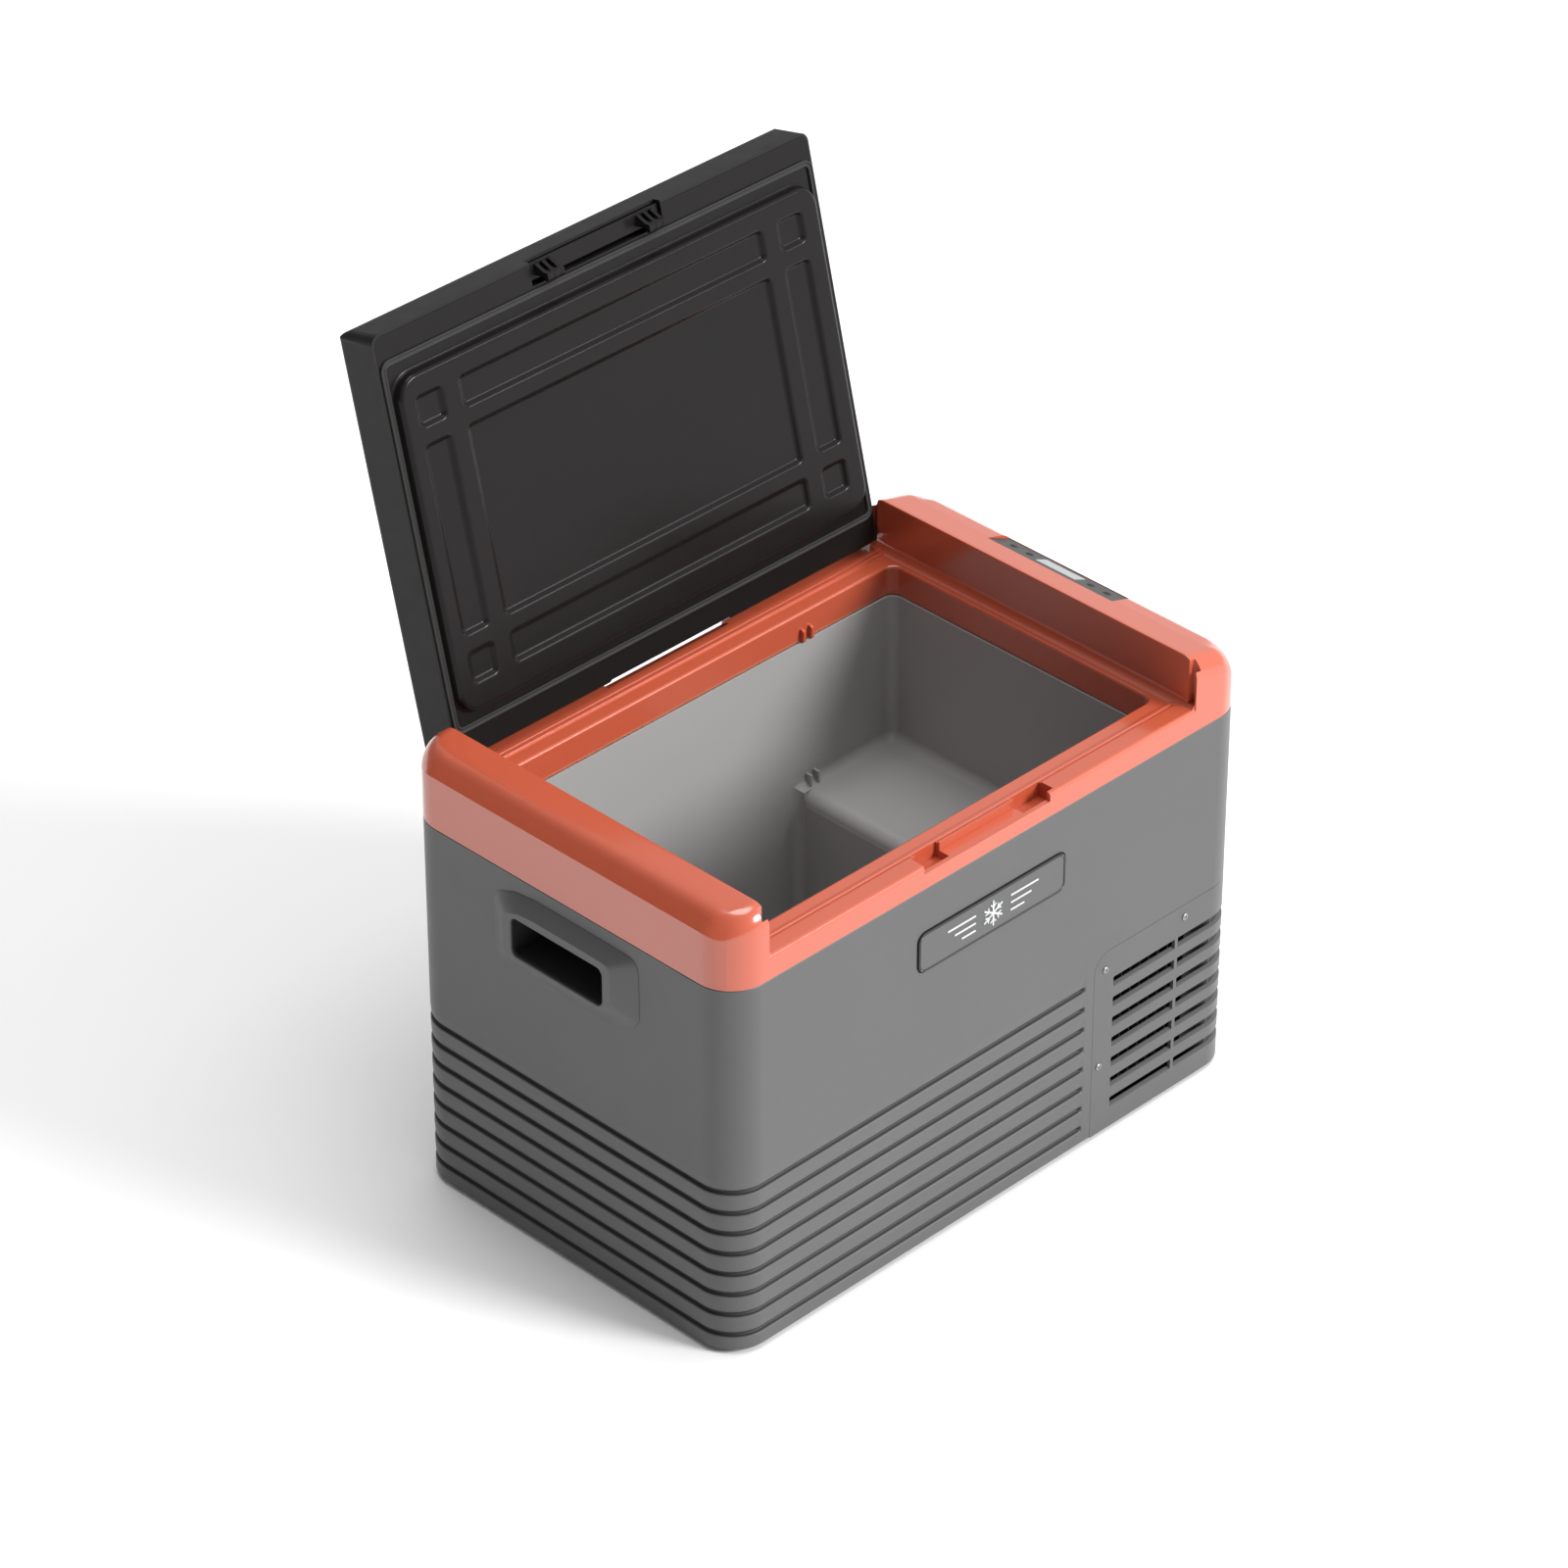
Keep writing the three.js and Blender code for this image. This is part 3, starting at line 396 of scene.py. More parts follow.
for entry in frame["record"]["subparts"]:
    node = NODES[entry["node"]]
    node.data.materials.clear()
    node.data.materials.append(FINISH[entry["material_slot"]])
NODES["condenser_coil"].data.materials[0] = COILBLACK
for pin in ("hinge_pin_right", "hinge_pin_left"):
    NODES[pin].data.materials[0] = BLACKMETAL


# ------------------------------------------------------------------ case
def outline_stations(front=(), right=()):
    """Points and outward normals round the case footprint, anticlockwise from the right side."""
    cx, cy = HALF_X - CORNER_R, HALF_Y - CORNER_R
    stations = []

    def corner(sx, sy, start):
        for i in range(CORNER_STEPS + 1):
            a = math.radians(start + 90 * i / CORNER_STEPS)
            n = (math.cos(a), math.sin(a))
            stations.append((sx * cx + CORNER_R * n[0], sy * cy + CORNER_R * n[1], *n))

    for y in sorted(right):
        stations.append((HALF_X, y, 1.0, 0.0))
    corner(1, 1, 0)
    for x in (130, 0, -130):
        stations.append((x, HALF_Y, 0.0, 1.0))
    corner(-1, 1, 90)
    for y in (80, 0, -80):
        stations.append((-HALF_X, y, -1.0, 0.0))
    corner(-1, -1, 180)
    for x in sorted(front):
        stations.append((x, -HALF_Y, 0.0, -1.0))
    corner(1, -1, 270)
    return stations


# Height from the groove's middle line, and depth
GROOVE_SHAPE = [(-3.4, 0.0), (-3.0, 0.25), (-2.6, 0.9), (-1.8, 2.6), (-1.2, 3.2), (-0.4, 3.4), (1.6, 3.4),
                (2.1, 3.2), (2.4, 2.6), (2.6, 1.2), (2.9, 0.65), (3.4, 0.5), (10.4, 0.05), (10.7, 0.0)]


def case_shell():
    """The open box with its grooves, which fade out beside the vent."""
    front = [-130, 0, 90, 103, 104.5, 106, 107.2, 108, 118, 200]
    right = [-120, -54, -52.5, -51, -49.5, -48, 0, 80]
    stations = outline_stations(front, right)

    def fade(x, y, nx, ny):
        """Share of the groove's depth left beside the vent."""
        if ny < -0.5 and x > 0:
            return min(1.0, max(0.0, (107.6 - x) / 3.4)) ** 0.6
        if nx > 0.5:
            return min(1.0, max(0.0, (y + 52.2) / 3.4)) ** 0.6
        return 1.0

    levels = [(0.0, 1.6, 0), (0.5, 0.6, 0), (1.6, 0.0, 0)]
    for zc in reversed(GROOVES):
        levels += [(zc + dz, depth, 1) for dz, depth in GROOVE_SHAPE]
    levels += [(200, 0, 0), (300, 0, 0), (CASE_TOP - 0.8, 0, 0), (CASE_TOP, 0.7, 0)]
    levels.sort()
    fades = [fade(*s) for s in stations]
    loops = []
    for z, depth, fading in levels:
        shares = fades if fading else [1] * len(stations)
        loops.append([(x - nx * depth * f, y - ny * depth * f, z)
                      for (x, y, nx, ny), f in zip(stations, shares)])
    for z in (CASE_TOP, 0.0):
        loops.append([(x - nx * WALL, y - ny * WALL, z) for x, y, nx, ny in stations])
    return ring_skin("case_body", loops)


def vent_region(grow, low=-20.0):
    """Everything inside the vent module's outline, as two crossing prisms."""
    left, rear, top, r = 118 - grow, -60 + grow, 181 + grow, 18 + grow
    curve = arc(left + r, top - r, r, 90, 180, 8)
    mirrored = [(rear - r + (left + r - a), b) for a, b in curve]
    front = prism("vent_a", [(FAR, low), (FAR, top)] + curve + [(left, low)], -FAR, -120, "xz")
    side = prism("vent_b", [(-FAR, low), (-FAR, top)] + mirrored + [(rear, low)], 230, FAR, "yz")
    return join(front, side)


def louvre(outline, axis, top):
    """A slot cutter whose floor rises inwards, so that its lower lip slopes."""
    loops = []
    for depth in (-6, 0, LIP_DEPTH, CUT_DEPTH):
        lift = LIP_RISE / LIP_DEPTH * min(LIP_DEPTH, max(0, depth))
        ring = []
        for x, y, z in outline:
            z = top - (top - z) * (1 - lift / SLOT_H)
            ring.append((x, y + depth, z) if axis == "y" else (x - depth, y, z))
        loops.append(ring)
    return loft("louvre", loops)


def corner_louvre(z0, z1):
    """The slot that wraps the front right corner, with the same sloping floor."""
    cx, cy = HALF_X - CORNER_R, -(HALF_Y - CORNER_R)
    sweep = [(cx - 8, -HALF_Y, 0.0, -1.0)]
    for i in range(CORNER_STEPS + 1):
        a = math.radians(270 + 90 * i / CORNER_STEPS)
        sweep.append((cx + CORNER_R * math.cos(a), cy + CORNER_R * math.sin(a), math.cos(a), math.sin(a)))
    sweep.append((HALF_X, cy + 10, 1.0, 0.0))
    section = [(-6, z0), (0, z0), (LIP_DEPTH, z0 + LIP_RISE), (CUT_DEPTH, z0 + LIP_RISE), (CUT_DEPTH, z1),
               (-6, z1)]
    loops = [[(x - nx * d, y - ny * d, z) for d, z in section] for x, y, nx, ny in sweep]
    return loft("corner_louvre", loops)


SCREWS = [((227, -HALF_Y, 168.6), "y"), ((131.3, -HALF_Y, 163.3), "y"), ((126.2, -HALF_Y, 68.6), "y"),
          ((HALF_X, -66, 161), "x"), ((HALF_X, -66, 68.6), "x")]


def turned(name, at, axis, stations, seg):
    """A round solid along x or y from (distance outwards, radius) pairs."""
    x, y, z = at
    loops = []
    for t, radius in stations:
        if axis == "y":
            loops.append([(x + a, y - t, z + b) for a, b in circle(radius, seg)])
        else:
            loops.append([(x + t, y + a, z + b) for a, b in circle(radius, seg)])
    return loft(name, loops)


def rod(name, radius, at, axis, lo, hi):
    """A cylinder along x or y; lo and hi count outwards from the point."""
    return turned(name, at, axis, [(lo, radius), (hi, radius)], 24)


def footprint_depth(x, y):
    """How far a point lies inside the case's side faces."""
    px, py = abs(x) - (HALF_X - CORNER_R), abs(y) - (HALF_Y - CORNER_R)
    if px > 0 and py > 0:
        return CORNER_R - math.hypot(px, py)
    return CORNER_R - max(px, py)


def gets_painted_shade(x, y, z, normal):
    """Whether a point of the case lies in a groove, or on its inner wall below the rim, where it gets painted
    shade.
    """
    depth = footprint_depth(x, y)
    inner_wall = depth > 3.7 and z < 340
    groove = 0.9 < depth < 3.6 and 8 < z < 160 and (abs(normal.z) < 0.95 or depth > 1.6)
    return inner_wall or groove


def build_case():
    """The grooved shell, with its vent seat, hand holes, power inlet and badge recess."""
    case = case_shell()
    inner = outline_stations([0], [0])
    seat = vent_region(0.0)
    core = loft("core", [[(x - nx * SEAT_DEPTH, y - ny * SEAT_DEPTH, z) for x, y, nx, ny in inner]
                         for z in (-30, FAR)])
    cut(seat, core)
    tools = [seat, vent_region(-15.7)]
    tools.append(block("hole", -FAR, -280, -HAND_Y, HAND_Y, *HAND_Z))
    tools.append(block("hole", 280, FAR, -HAND_Y, HAND_Y, *HAND_Z))
    tools.append(block("inlet", 280, 310, 105.5, 134.5, 47.5, 72.5))
    tools.append(prism("badge", grown(BADGE_RECT, BADGE_GAP), -190, -HALF_Y + 1.8, "xz"))
    for at, axis in SCREWS:
        tools.append(rod("screwhole", SCREW_HOLE_R, at, axis, -6, 1))
    cut(case, *tools)
    place(case, "case", "case_plastic", "outer_case", material=CASE)
    # Second slot: grooves and the inner wall below the rim get the near-black copy as painted shade.
    case.data.materials.append(PAINTED_SHADE)
    for face in case.data.polygons:
        x, y, z = (c / MM for c in face.center)
        if gets_painted_shade(x, y, z, face.normal):
            face.material_index = 1


def build_vent():
    """A thin skin with sloping blades behind it, and walls inside the corner that block the view through."""
    stations = outline_stations([-100, 0, 100], [-50, 0])

    def ring(depth, z0, z1):
        loops = [[(x - nx * depth, y - ny * depth, z) for x, y, nx, ny in stations] for z in (z0, z1)]
        return loft("ring", loops)

    skin = cut(ring(0, 0, 200), ring(SKIN, -1, 201))
    csg(skin, "INTERSECT", vent_region(-0.3, 0.0))
    thick = cut(ring(0.0, 0, 200), ring(BLADE, -1, 201))
    csg(thick, "INTERSECT", vent_region(-16, 14.0))
    low, high = 14.5, 163.5
    bend = cut(ring(BLADE - 0.2, low, high), ring(BLADE + 1.3, 0, 200))
    csg(bend, "INTERSECT", block("c", 262, 300, -190, -151, 0, 200))
    front_line = [(242, -169), (263, -179.6), (263.6, -178.2), (242.6, -167.6)]
    front_fence = prism("f", front_line, low, high)
    side_line = [(292.0, -152), (282, -120), (282, -78), (280.5, -78), (280.5, -120.5), (290.6, -152.5)]
    side_fence = prism("f", side_line, low, high)
    shelf = cut(ring(3, 161.8, high), ring(15, 0, 200))
    csg(shelf, "INTERSECT", block("c", 243, 300, -190, -130, 0, 200))
    vent = join(skin, thick)
    tools = []
    for k in range(SLOT_COUNT):
        z1 = SLOT_TOP - SLOT_PITCH * k
        z0 = z1 - SLOT_H
        for x0, x1 in ((141.5, 216.0), (219.5, 270.0)):
            tools.append(louvre([(x, -HALF_Y, z) for x, z in rrect(x0, x1, z0, z1, 0.8, 3)], "y", z1))
        tools.append(louvre([(HALF_X, y, z) for y, z in rrect(-140, -84, z0, z1, 0.8, 3)], "x", z1))
        tools.append(corner_louvre(z0, z1))
    tools += [rod("hole", SCREW_HOLE_R, at, axis, -4, 1) for at, axis in SCREWS]
    cut(vent, *tools)
    vent = join(vent, bend, front_fence, side_fence, shelf)
    place(vent, "case", "case_plastic", "vent_grille", material=CASE)
    # Second slot: faces deep behind the skin and faces turned down get the near-black copy as painted shade,
    # so the slots read black.
    vent.data.materials.append(PAINTED_SHADE)
    for face in vent.data.polygons:
        x, y, z = (c / MM for c in face.center)
        depth = footprint_depth(x, y)
        if depth > 3.2 or (depth > 0.1 and face.normal.z < -0.5):
            face.material_index = 1
    for i, (at, axis) in enumerate(SCREWS, 1):
        screw = make_screw(at, axis)
        place(screw, "case", "steel", f"vent_screw_{i}", material=STEEL)


def make_screw(at, axis):
    """Pan head with a cross recess."""
    x, y, z = at
    stem = [(-5.0, 0.02), (-4.2, 1.2), (0.25, 1.2)]
    head = [(0.25, 3.2), (0.6, 3.2), (1.0, 2.9), (1.25, 2.3), (1.35, 1.2), (1.37, 0.02)]
    screw = turned("screw", at, axis, stem + head, 28)
    if axis == "y":
        cross = [block("c", x - 1.5, x + 1.5, y - 2, y - 0.7, z - 0.25, z + 0.25),
                 block("c", x - 0.25, x + 0.25, y - 2, y - 0.7, z - 1.5, z + 1.5)]
    else:
        cross = [block("c", x + 0.7, x + 2, y - 1.5, y + 1.5, z - 0.25, z + 0.25),
                 block("c", x + 0.7, x + 2, y - 0.25, y + 0.25, z - 1.5, z + 1.5)]
    return cut(screw, *cross)


# ------------------------------------------------------------------ top frame
# Outlines of the two shoulders across x
LEFT_TOP = chaikin([(-295, 396.5), (-291, 402.2), (-287, 407.6), (-283.5, 411.3), (-278.5, 413.2),
                    (-270, 414.2), (-258, 414.9), (-254.6, 415.0), (-253.7, 414.6), (-253.5, 413.6)])
RIGHT_TOP = chaikin([(230, 413.9), (230.2, 414.9), (231.2, 415.2), (243, 411.9), (258, 407.9),
                     (264, 406.4), (271, 404.4), (278, 401.8), (286, 394.6), (291, 386), (293.6, 378),
                     (295, 372)])


def top_height(x):
    """Height of a shoulder's outline at x."""
    line = LEFT_TOP if x < 0 else RIGHT_TOP
    return float(np.interp(x, [p[0] for p in line], [p[1] for p in line]))


def end_drop(d):
    """How far a shoulder's end has rolled down at distance d inside the footprint."""
    t = min(1.0, max(0.0, 1 - d / DOME_IN))
    return DOME_DROP * (1 - math.sqrt(max(0.0, 1 - t * t)))


def edge_y(x):
    """Half the footprint's width at x."""
    past = max(0.0, abs(x) - (HALF_X - CORNER_R))
    return HALF_Y - CORNER_R + math.sqrt(max(0.0, CORNER_R ** 2 - past ** 2))


def shoulder_z(x, y):
    """Top of a shoulder: its profile across x, rolled down towards the front and rear outline."""
    px, py = abs(x) - (HALF_X - CORNER_R), abs(y) - (HALF_Y - CORNER_R)
    if px <= 0 or py <= 0:
        return top_height(x) - (end_drop(edge_y(x) - abs(y)) if px <= 0 else 0)
    reach = math.hypot(px, py)
    d = max(0.0, CORNER_R - reach)
    turn = math.atan2(py, px) / (math.pi / 2)
    w = turn * turn * (3 - 2 * turn)
    side = math.copysign(HALF_X - d, x)
    return (1 - w) * top_height(side) + w * (top_height(x) - end_drop(d))


def shoulder(name, stations):
    """A solid under the shoulder surface, with rows close together near its two ends."""
    rows = [0, 0.15, 0.5, 1.1, 2.0, 3.2, 4.8, 6.6, 8.6, 10.8, 13.2, 15.6, 16.5, 22, 28]
    top, count = [], 2 * len(rows)
    for x in stations:
        e = edge_y(x)
        ys = [-(e - d) for d in rows] + [e - d for d in reversed(rows)]
        top.append([(x, y, shoulder_z(x, y)) for y in ys])
    verts = [p for line in top for p in line] + [(x, y, RIM_Z0) for line in top for x, y, _ in line]
    base = len(stations) * count
    faces = []
    for i in range(len(stations) - 1):
        for j in range(count - 1):
            a, b = i * count + j, i * count + j + 1
            c, d = (i + 1) * count + j + 1, (i + 1) * count + j
            faces += [(a, b, c, d), (base + d, base + c, base + b, base + a)]
        for j in (0, count - 1):
            a, d = i * count + j, (i + 1) * count + j
            faces.append((a, d, base + d, base + a))
    for i in (0, len(stations) - 1):
        faces.append(tuple(i * count + j for j in range(count)) +
                     tuple(base + i * count + j for j in reversed(range(count))))
    return make(name, verts, faces)


def corner_xs(side):
    """Stations across the corner radius on one side."""
    turns = np.linspace(0, 90, CORNER_STEPS + 1)
    xs = [HALF_X - CORNER_R + CORNER_R * math.cos(math.radians(a)) for a in turns]
    return [side * x for x in xs]


def panel_matrix():
    """From the control panel's own axes to the frame's."""
    return Matrix.Translation(PANEL_AT) @ Matrix.Rotation(PANEL_TILT, 4, "Y")


def panel_block(name, u, y0, y1, n0, n1, r=1.0):
    """A rounded block in the panel's own frame."""
    obj = prism(name, rrect(-u, u, y0, y1, r, 5), n0, n1)
    obj.data.transform(panel_matrix())
    return obj


# Extra stations across the shoulders, where the outline turns sharply
LEFT_XS = [-294.6, -292, -287, -259, -256.5, -255, -254.3, -253.8, BAY_X0]
RIGHT_XS = [BAY_X1, 230.1, 230.4, 230.9, 231.8, 234, 243, 252, 264, 267.5, 275, 281, 288.5, 292.5, 294.6]
# The sill from its outer rounding inwards: a thin groove, a bead, then the step down to the seat
SILL_SHAPE = [(166.4, 370), (165.9, 369.8), (165.6, 369.3), (165.5, 368.5), (165.2, 368.25), (164.2, 368.2),
              (163.8, 368.4), (163.6, 369.3), (163.3, 369.8), (162.9, 370), (161.3, 370), (160.8, 369.8),
              (160.5, 369.3), (160.4, 368.4), (160.1, 368.1), (159.7, 368), (130, 368), (130, RIM_Z0)]
GUIDE_RIB = [(146.2, BAND_Z + 0.2), (141.6, BAND_Z + 0.2), (141, BAND_Z + 0.8), (141, 350.4), (141.6, 351.8),
             (143, 352.8), (146.2, 353)]
GUIDE_XS, HINGE_SLOT_Y = (110.0, 119.5), (174, 181)
FOOT_R, FLARE_R = 9, 2.5


def build_rim():
    """Two shoulders joined by front and rear sills, round the opening into the tub."""
    left_xs = sorted(set(corner_xs(-1) + LEFT_XS))
    right_xs = sorted(set(corner_xs(1) + RIGHT_XS))
    rim = shoulder("top_frame", left_xs)
    right = shoulder("right", right_xs)
    bars = []
    for side in (-1, 1):
        profile = [(HALF_Y, RIM_Z0)] + arc(HALF_Y - 3, LAND_Z - 3, 3, 0, 90, 6) + SILL_SHAPE
        bars.append(prism("sill", [(side * y, z) for y, z in profile], BAY_X0 - 1.5, BAY_X1 + 1.5, "yz"))
    ledges = [block("ledge", BAY_X0 - 2, -200, -155, 155, RIM_Z0, SEAT_Z),
              block("ledge", 180, BAY_X1 + 2, -155, 155, RIM_Z0, SEAT_Z)]
    left_foot, right_foot = BAY_X0 + FOOT_R, BAY_X1 - FOOT_R
    foot_z, low = SEAT_Z + FOOT_R, 366
    foot_l = [(BAY_X0 - 1, low), (BAY_X0 - 1, foot_z)]
    foot_l += arc(left_foot, foot_z, FOOT_R, 180, 270, 8) + [(left_foot, low)]
    foot_r = [(BAY_X1 + 1, low), (right_foot, low)]
    foot_r += arc(right_foot, foot_z, FOOT_R, 270, 360, 8) + [(BAY_X1 + 1, foot_z)]
    feet = [prism("foot", outline, -181.5, 181.5, "xz") for outline in (foot_l, foot_r)]
    join(rim, right, *bars, *ledges, *feet)
    opening = (OPEN_X0, OPEN_X1, -OPEN_Y, OPEN_Y, OPEN_R)
    join(rim, prism("band", grown(opening, 3, 10), BAND_Z, RIM_Z0 + 4))
    flare = []
    for a in range(0, 91, 15):
        s = math.radians(a)
        flare.append((FLARE_R - FLARE_R * math.sin(s), SEAT_Z - FLARE_R + FLARE_R * math.cos(s)))
    steps = [(FLARE_R, FAR)] + flare + [(0, BAND_Z + 0.6), (0.5, BAND_Z), (0.5, 330)]
    cut(rim, loft("mouth", [level(opening, d, z, 10) for d, z in steps]))
    tools = []
    tools.append(block("recess", RECESS_X0, RECESS_X1, -190, -168, 362.5, 380))
    tools.append(block("rear_gap", REAR_X0, REAR_X1, 174, 190, 365.5, 380))
    tools.append(block("pocket", -79, -52, -178.5, -163.5, 355.5, 380))
    tools.append(block("pocket", 32, 66, -178.5, -163.5, 355.5, 380))
    for side in (-1, 1):
        lo, hi = sorted(side * y for y in HINGE_SLOT_Y)
        tools.append(block("slot", BAY_X1 - 1, 236, lo, hi, LAND_Z + 0.01, 430))
        tools.append(block("slot", -259.5, BAY_X0 + 1, lo, hi, LAND_Z + 0.01, 430))
    tools.append(panel_block("rebate", 14.4, -69.5, 69.5, -2.5, 14, 1.2))
    tools.append(panel_block("window", 10.8, -62, 62, -20, 0))
    cut(rim, *tools)
    ribs = []
    for side in (-1, 1):
        for x in GUIDE_XS:
            ribs.append(prism("rib", [(side * y, z) for y, z in GUIDE_RIB], x, x + 2.5, "yz"))
    join(rim, *ribs)
    place(rim, "case", "rim_plastic", "top_rim", material=CORAL, angle=28)


# ------------------------------------------------------------------ tub
TUB_TOP, TUB_FLOOR, STEP_TOP, TUB_WALL = 340.7, 48, 200, 2
TUB_WIDE, TUB_DEEP = (-241, 217, -143, 143, 9), (-241, 103, -143, 143, 9)


def build_tub():
    """The two-level liner, with the rounded step over the compressor and two ribs in its rear corner."""
    def drafted(points, z):
        """Narrows an outline towards the floor."""
        t = (TUB_TOP - z) / (TUB_TOP - TUB_FLOOR)
        return [(x - (x + 12) / 229 * 3 * t, y - y / 143 * 5 * t, z) for x, y in points]

    def shell(name, rect, z0, z1):
        return loft(name, [drafted(grown(rect, TUB_WALL, 10), z) for z in (z0, z1)])

    def air(name, rect, floor, top, fillet):
        """The space inside, rounded into its floor."""
        loops = []
        for a in range(0, 91, 10):
            s = math.radians(a)
            outline = grown(rect, -fillet * (1 - math.sin(s)), 10)
            loops.append(drafted(outline, floor + fillet * (1 - math.cos(s))))
        loops.append(drafted(grown(rect, 0, 10), top))
        return loft(name, loops)

    tub = shell("tub_shell", TUB_WIDE, STEP_TOP - TUB_WALL, TUB_TOP)
    join(tub, shell("lower", TUB_DEEP, TUB_FLOOR - TUB_WALL, STEP_TOP - 1))
    nose = [(102.2, 202), (115, 202), (115, STEP_TOP)] + arc(115, 188, 12, 90, 180, 8)[1:] + [(102.2, 186)]
    join(tub, block("step_edge", 101, 130, -139, 139, 184, 199))
    cut(tub, air("upper_air", TUB_WIDE, STEP_TOP, 360, 9), air("lower_air", TUB_DEEP, TUB_FLOOR, 212, 14))
    cut(tub, prism("nose", nose, -133, 133, "xz"))
    ribs = [prism("rib", rrect(x, x + 2.4, 134.5, 143.5, 0.6, 3), 196, 212) for x in (112, 121)]
    join(tub, *ribs)
    place(tub, "case", "tub_plastic", "inner_tub", material=TUBGREY, angle=30)


# ------------------------------------------------------------------ handles and badge
COLLAR_X = 306.0


def handle_mesh(name):
    """A raised collar that narrows outwards, round a cup with a flared mouth."""
    base = [(-82, 259), (70, 259), (78, 262), (82, 270), (82, 336), (-72, 336), (-79, 332), (-82, 324)]
    base = chaikin_closed(base)
    loops = []
    for t, out in ((0.0, 295.3), (0.06, 295.9), (0.9, 305.2), (0.96, 305.8), (1.0, COLLAR_X)):
        loops.append([(out, y * (1 - t * 22 / 82), z + t * (278 + (z - 259) * 47 / 77 - z)) for y, z in base])
    body = loft(name, loops)
    join(body, block("cup", 268, 297, -55.5, 55.5, 278, 321.5))
    mouth = (-51, 51, 282, 317, 6)
    rings = []
    for out, d in ((310, 1.6), (COLLAR_X, 1.6), (305.5, 0.6), (304.6, 0.0), (292, 0.0)):
        rings.append([(out, y, z) for y, z in grown(mouth, d, 6)])
    cut(body, loft("mouth", rings), block("hollow", 270.5, 302, -53, 53, 280.5, 319))
    return body


def build_handles():
    """One collar and its mirror image, with painted shade inside the mouth."""
    right = handle_mesh("handle_right")
    left = handle_mesh("handle_left")
    left.data.transform(Matrix.Scale(-1, 4, (1, 0, 0)))
    left.data.flip_normals()
    for obj, node in ((right, "right_handle"), (left, "left_handle")):
        place(obj, "case", "case_plastic", node, material=CASE, angle=30)
        # Second slot: faces inside the mouth get the dark plastic as painted shade.
        obj.data.materials.append(DARK)
        for face in obj.data.polygons:
            x, y, z = (c / MM for c in face.center)
            if abs(x) < 305.2 and abs(y) < 53.2 and 280.4 < z < 319.2:
                face.material_index = 1


def build_badge():
    """The plate with its edge in painted shade and a sunk face, and a plain snowflake between short bars."""
    loops = []
    for out, d in ((-0.6, 0), (1.0, 0.0), (1.3, -0.15), (1.5, -0.5), (1.5, -2.0), (BADGE_FACE, -2.4)):
        loops.append([(x, -HALF_Y - out, z) for x, z in grown(BADGE_RECT, d)])
    plate = loft("badge", loops)
    place(plate, "case", "case_plastic", "badge_plate", material=CASE)
    # Second slot: the plate's edge and side faces get the near-black copy as painted shade.
    plate.data.materials.append(PAINTED_SHADE)
    x0, x1, z0, z1, _ = BADGE_RECT
    for face in plate.data.polygons:
        x, _, z = (c / MM for c in face.center)
        inside = x0 + BADGE_EDGE < x < x1 - BADGE_EDGE and z0 + BADGE_EDGE < z < z1 - BADGE_EDGE
        if not inside or abs(face.normal.y) < 0.9:
            face.material_index = 1
    flake = None
    centre = Matrix.Translation((EMBLEM_X, -HALF_Y - BADGE_FACE, EMBLEM_Z))
    for k in range(3):
        turn = centre @ Matrix.Rotation(math.radians(60 * k), 4, "Y")
        parts = [prism("arm", rrect(-0.75, 0.75, -12, 12, 0.6, 3), -0.7, 0.2, "xz")]
        for end in (-1, 1):
            for lean in (-45, 45):
                twig = prism("twig", rrect(-0.55, 0.55, 0, 4.6, 0.5, 3), -0.7, 0.2, "xz")
                lean_turn = Matrix.Rotation(math.radians(lean + (180 if end < 0 else 0)), 4, "Y")
                twig.data.transform(Matrix.Translation((0, 0, end * 5.5)) @ lean_turn)
                parts.append(twig)
        arm = join(*parts)
        arm.data.transform(turn)
        flake = arm if flake is None else join(flake, arm)
    for side in (-1, 1):
        for k, far in enumerate((52, 44, 36)):
            lo, hi = sorted((EMBLEM_X + side * 20, EMBLEM_X + side * far))
            z = EMBLEM_Z + 7 - 7 * k
            outline = rrect(lo, hi, z - 0.7, z + 0.7, 0.65, 4)
            flake = join(flake, prism("bar", outline, -HALF_Y - 1.8, -HALF_Y - 0.9, "xz"))
    flake.name = "badge_emblem"
    place(flake, "case", "steel", material=MARK)


# ------------------------------------------------------------------ control panel
PANEL_RECT, LENS_RECT = (-14.1, 14.1, -69.2, 69.2, 1.0), (-8, 8, -22, 22, 1.0)
BUTTON_HOLE_R = 3.4
# Radius and height: a retained foot, the stem, then a dished top
BUTTON_SHAPE = [(0.02, -3.8), (4.2, -3.8), (4.2, -2.6), (3.0, -2.6), (3.0, 0.1), (2.8, 0.4), (2.4, 0.55),
                (1.6, 0.4), (0.02, 0.35)]


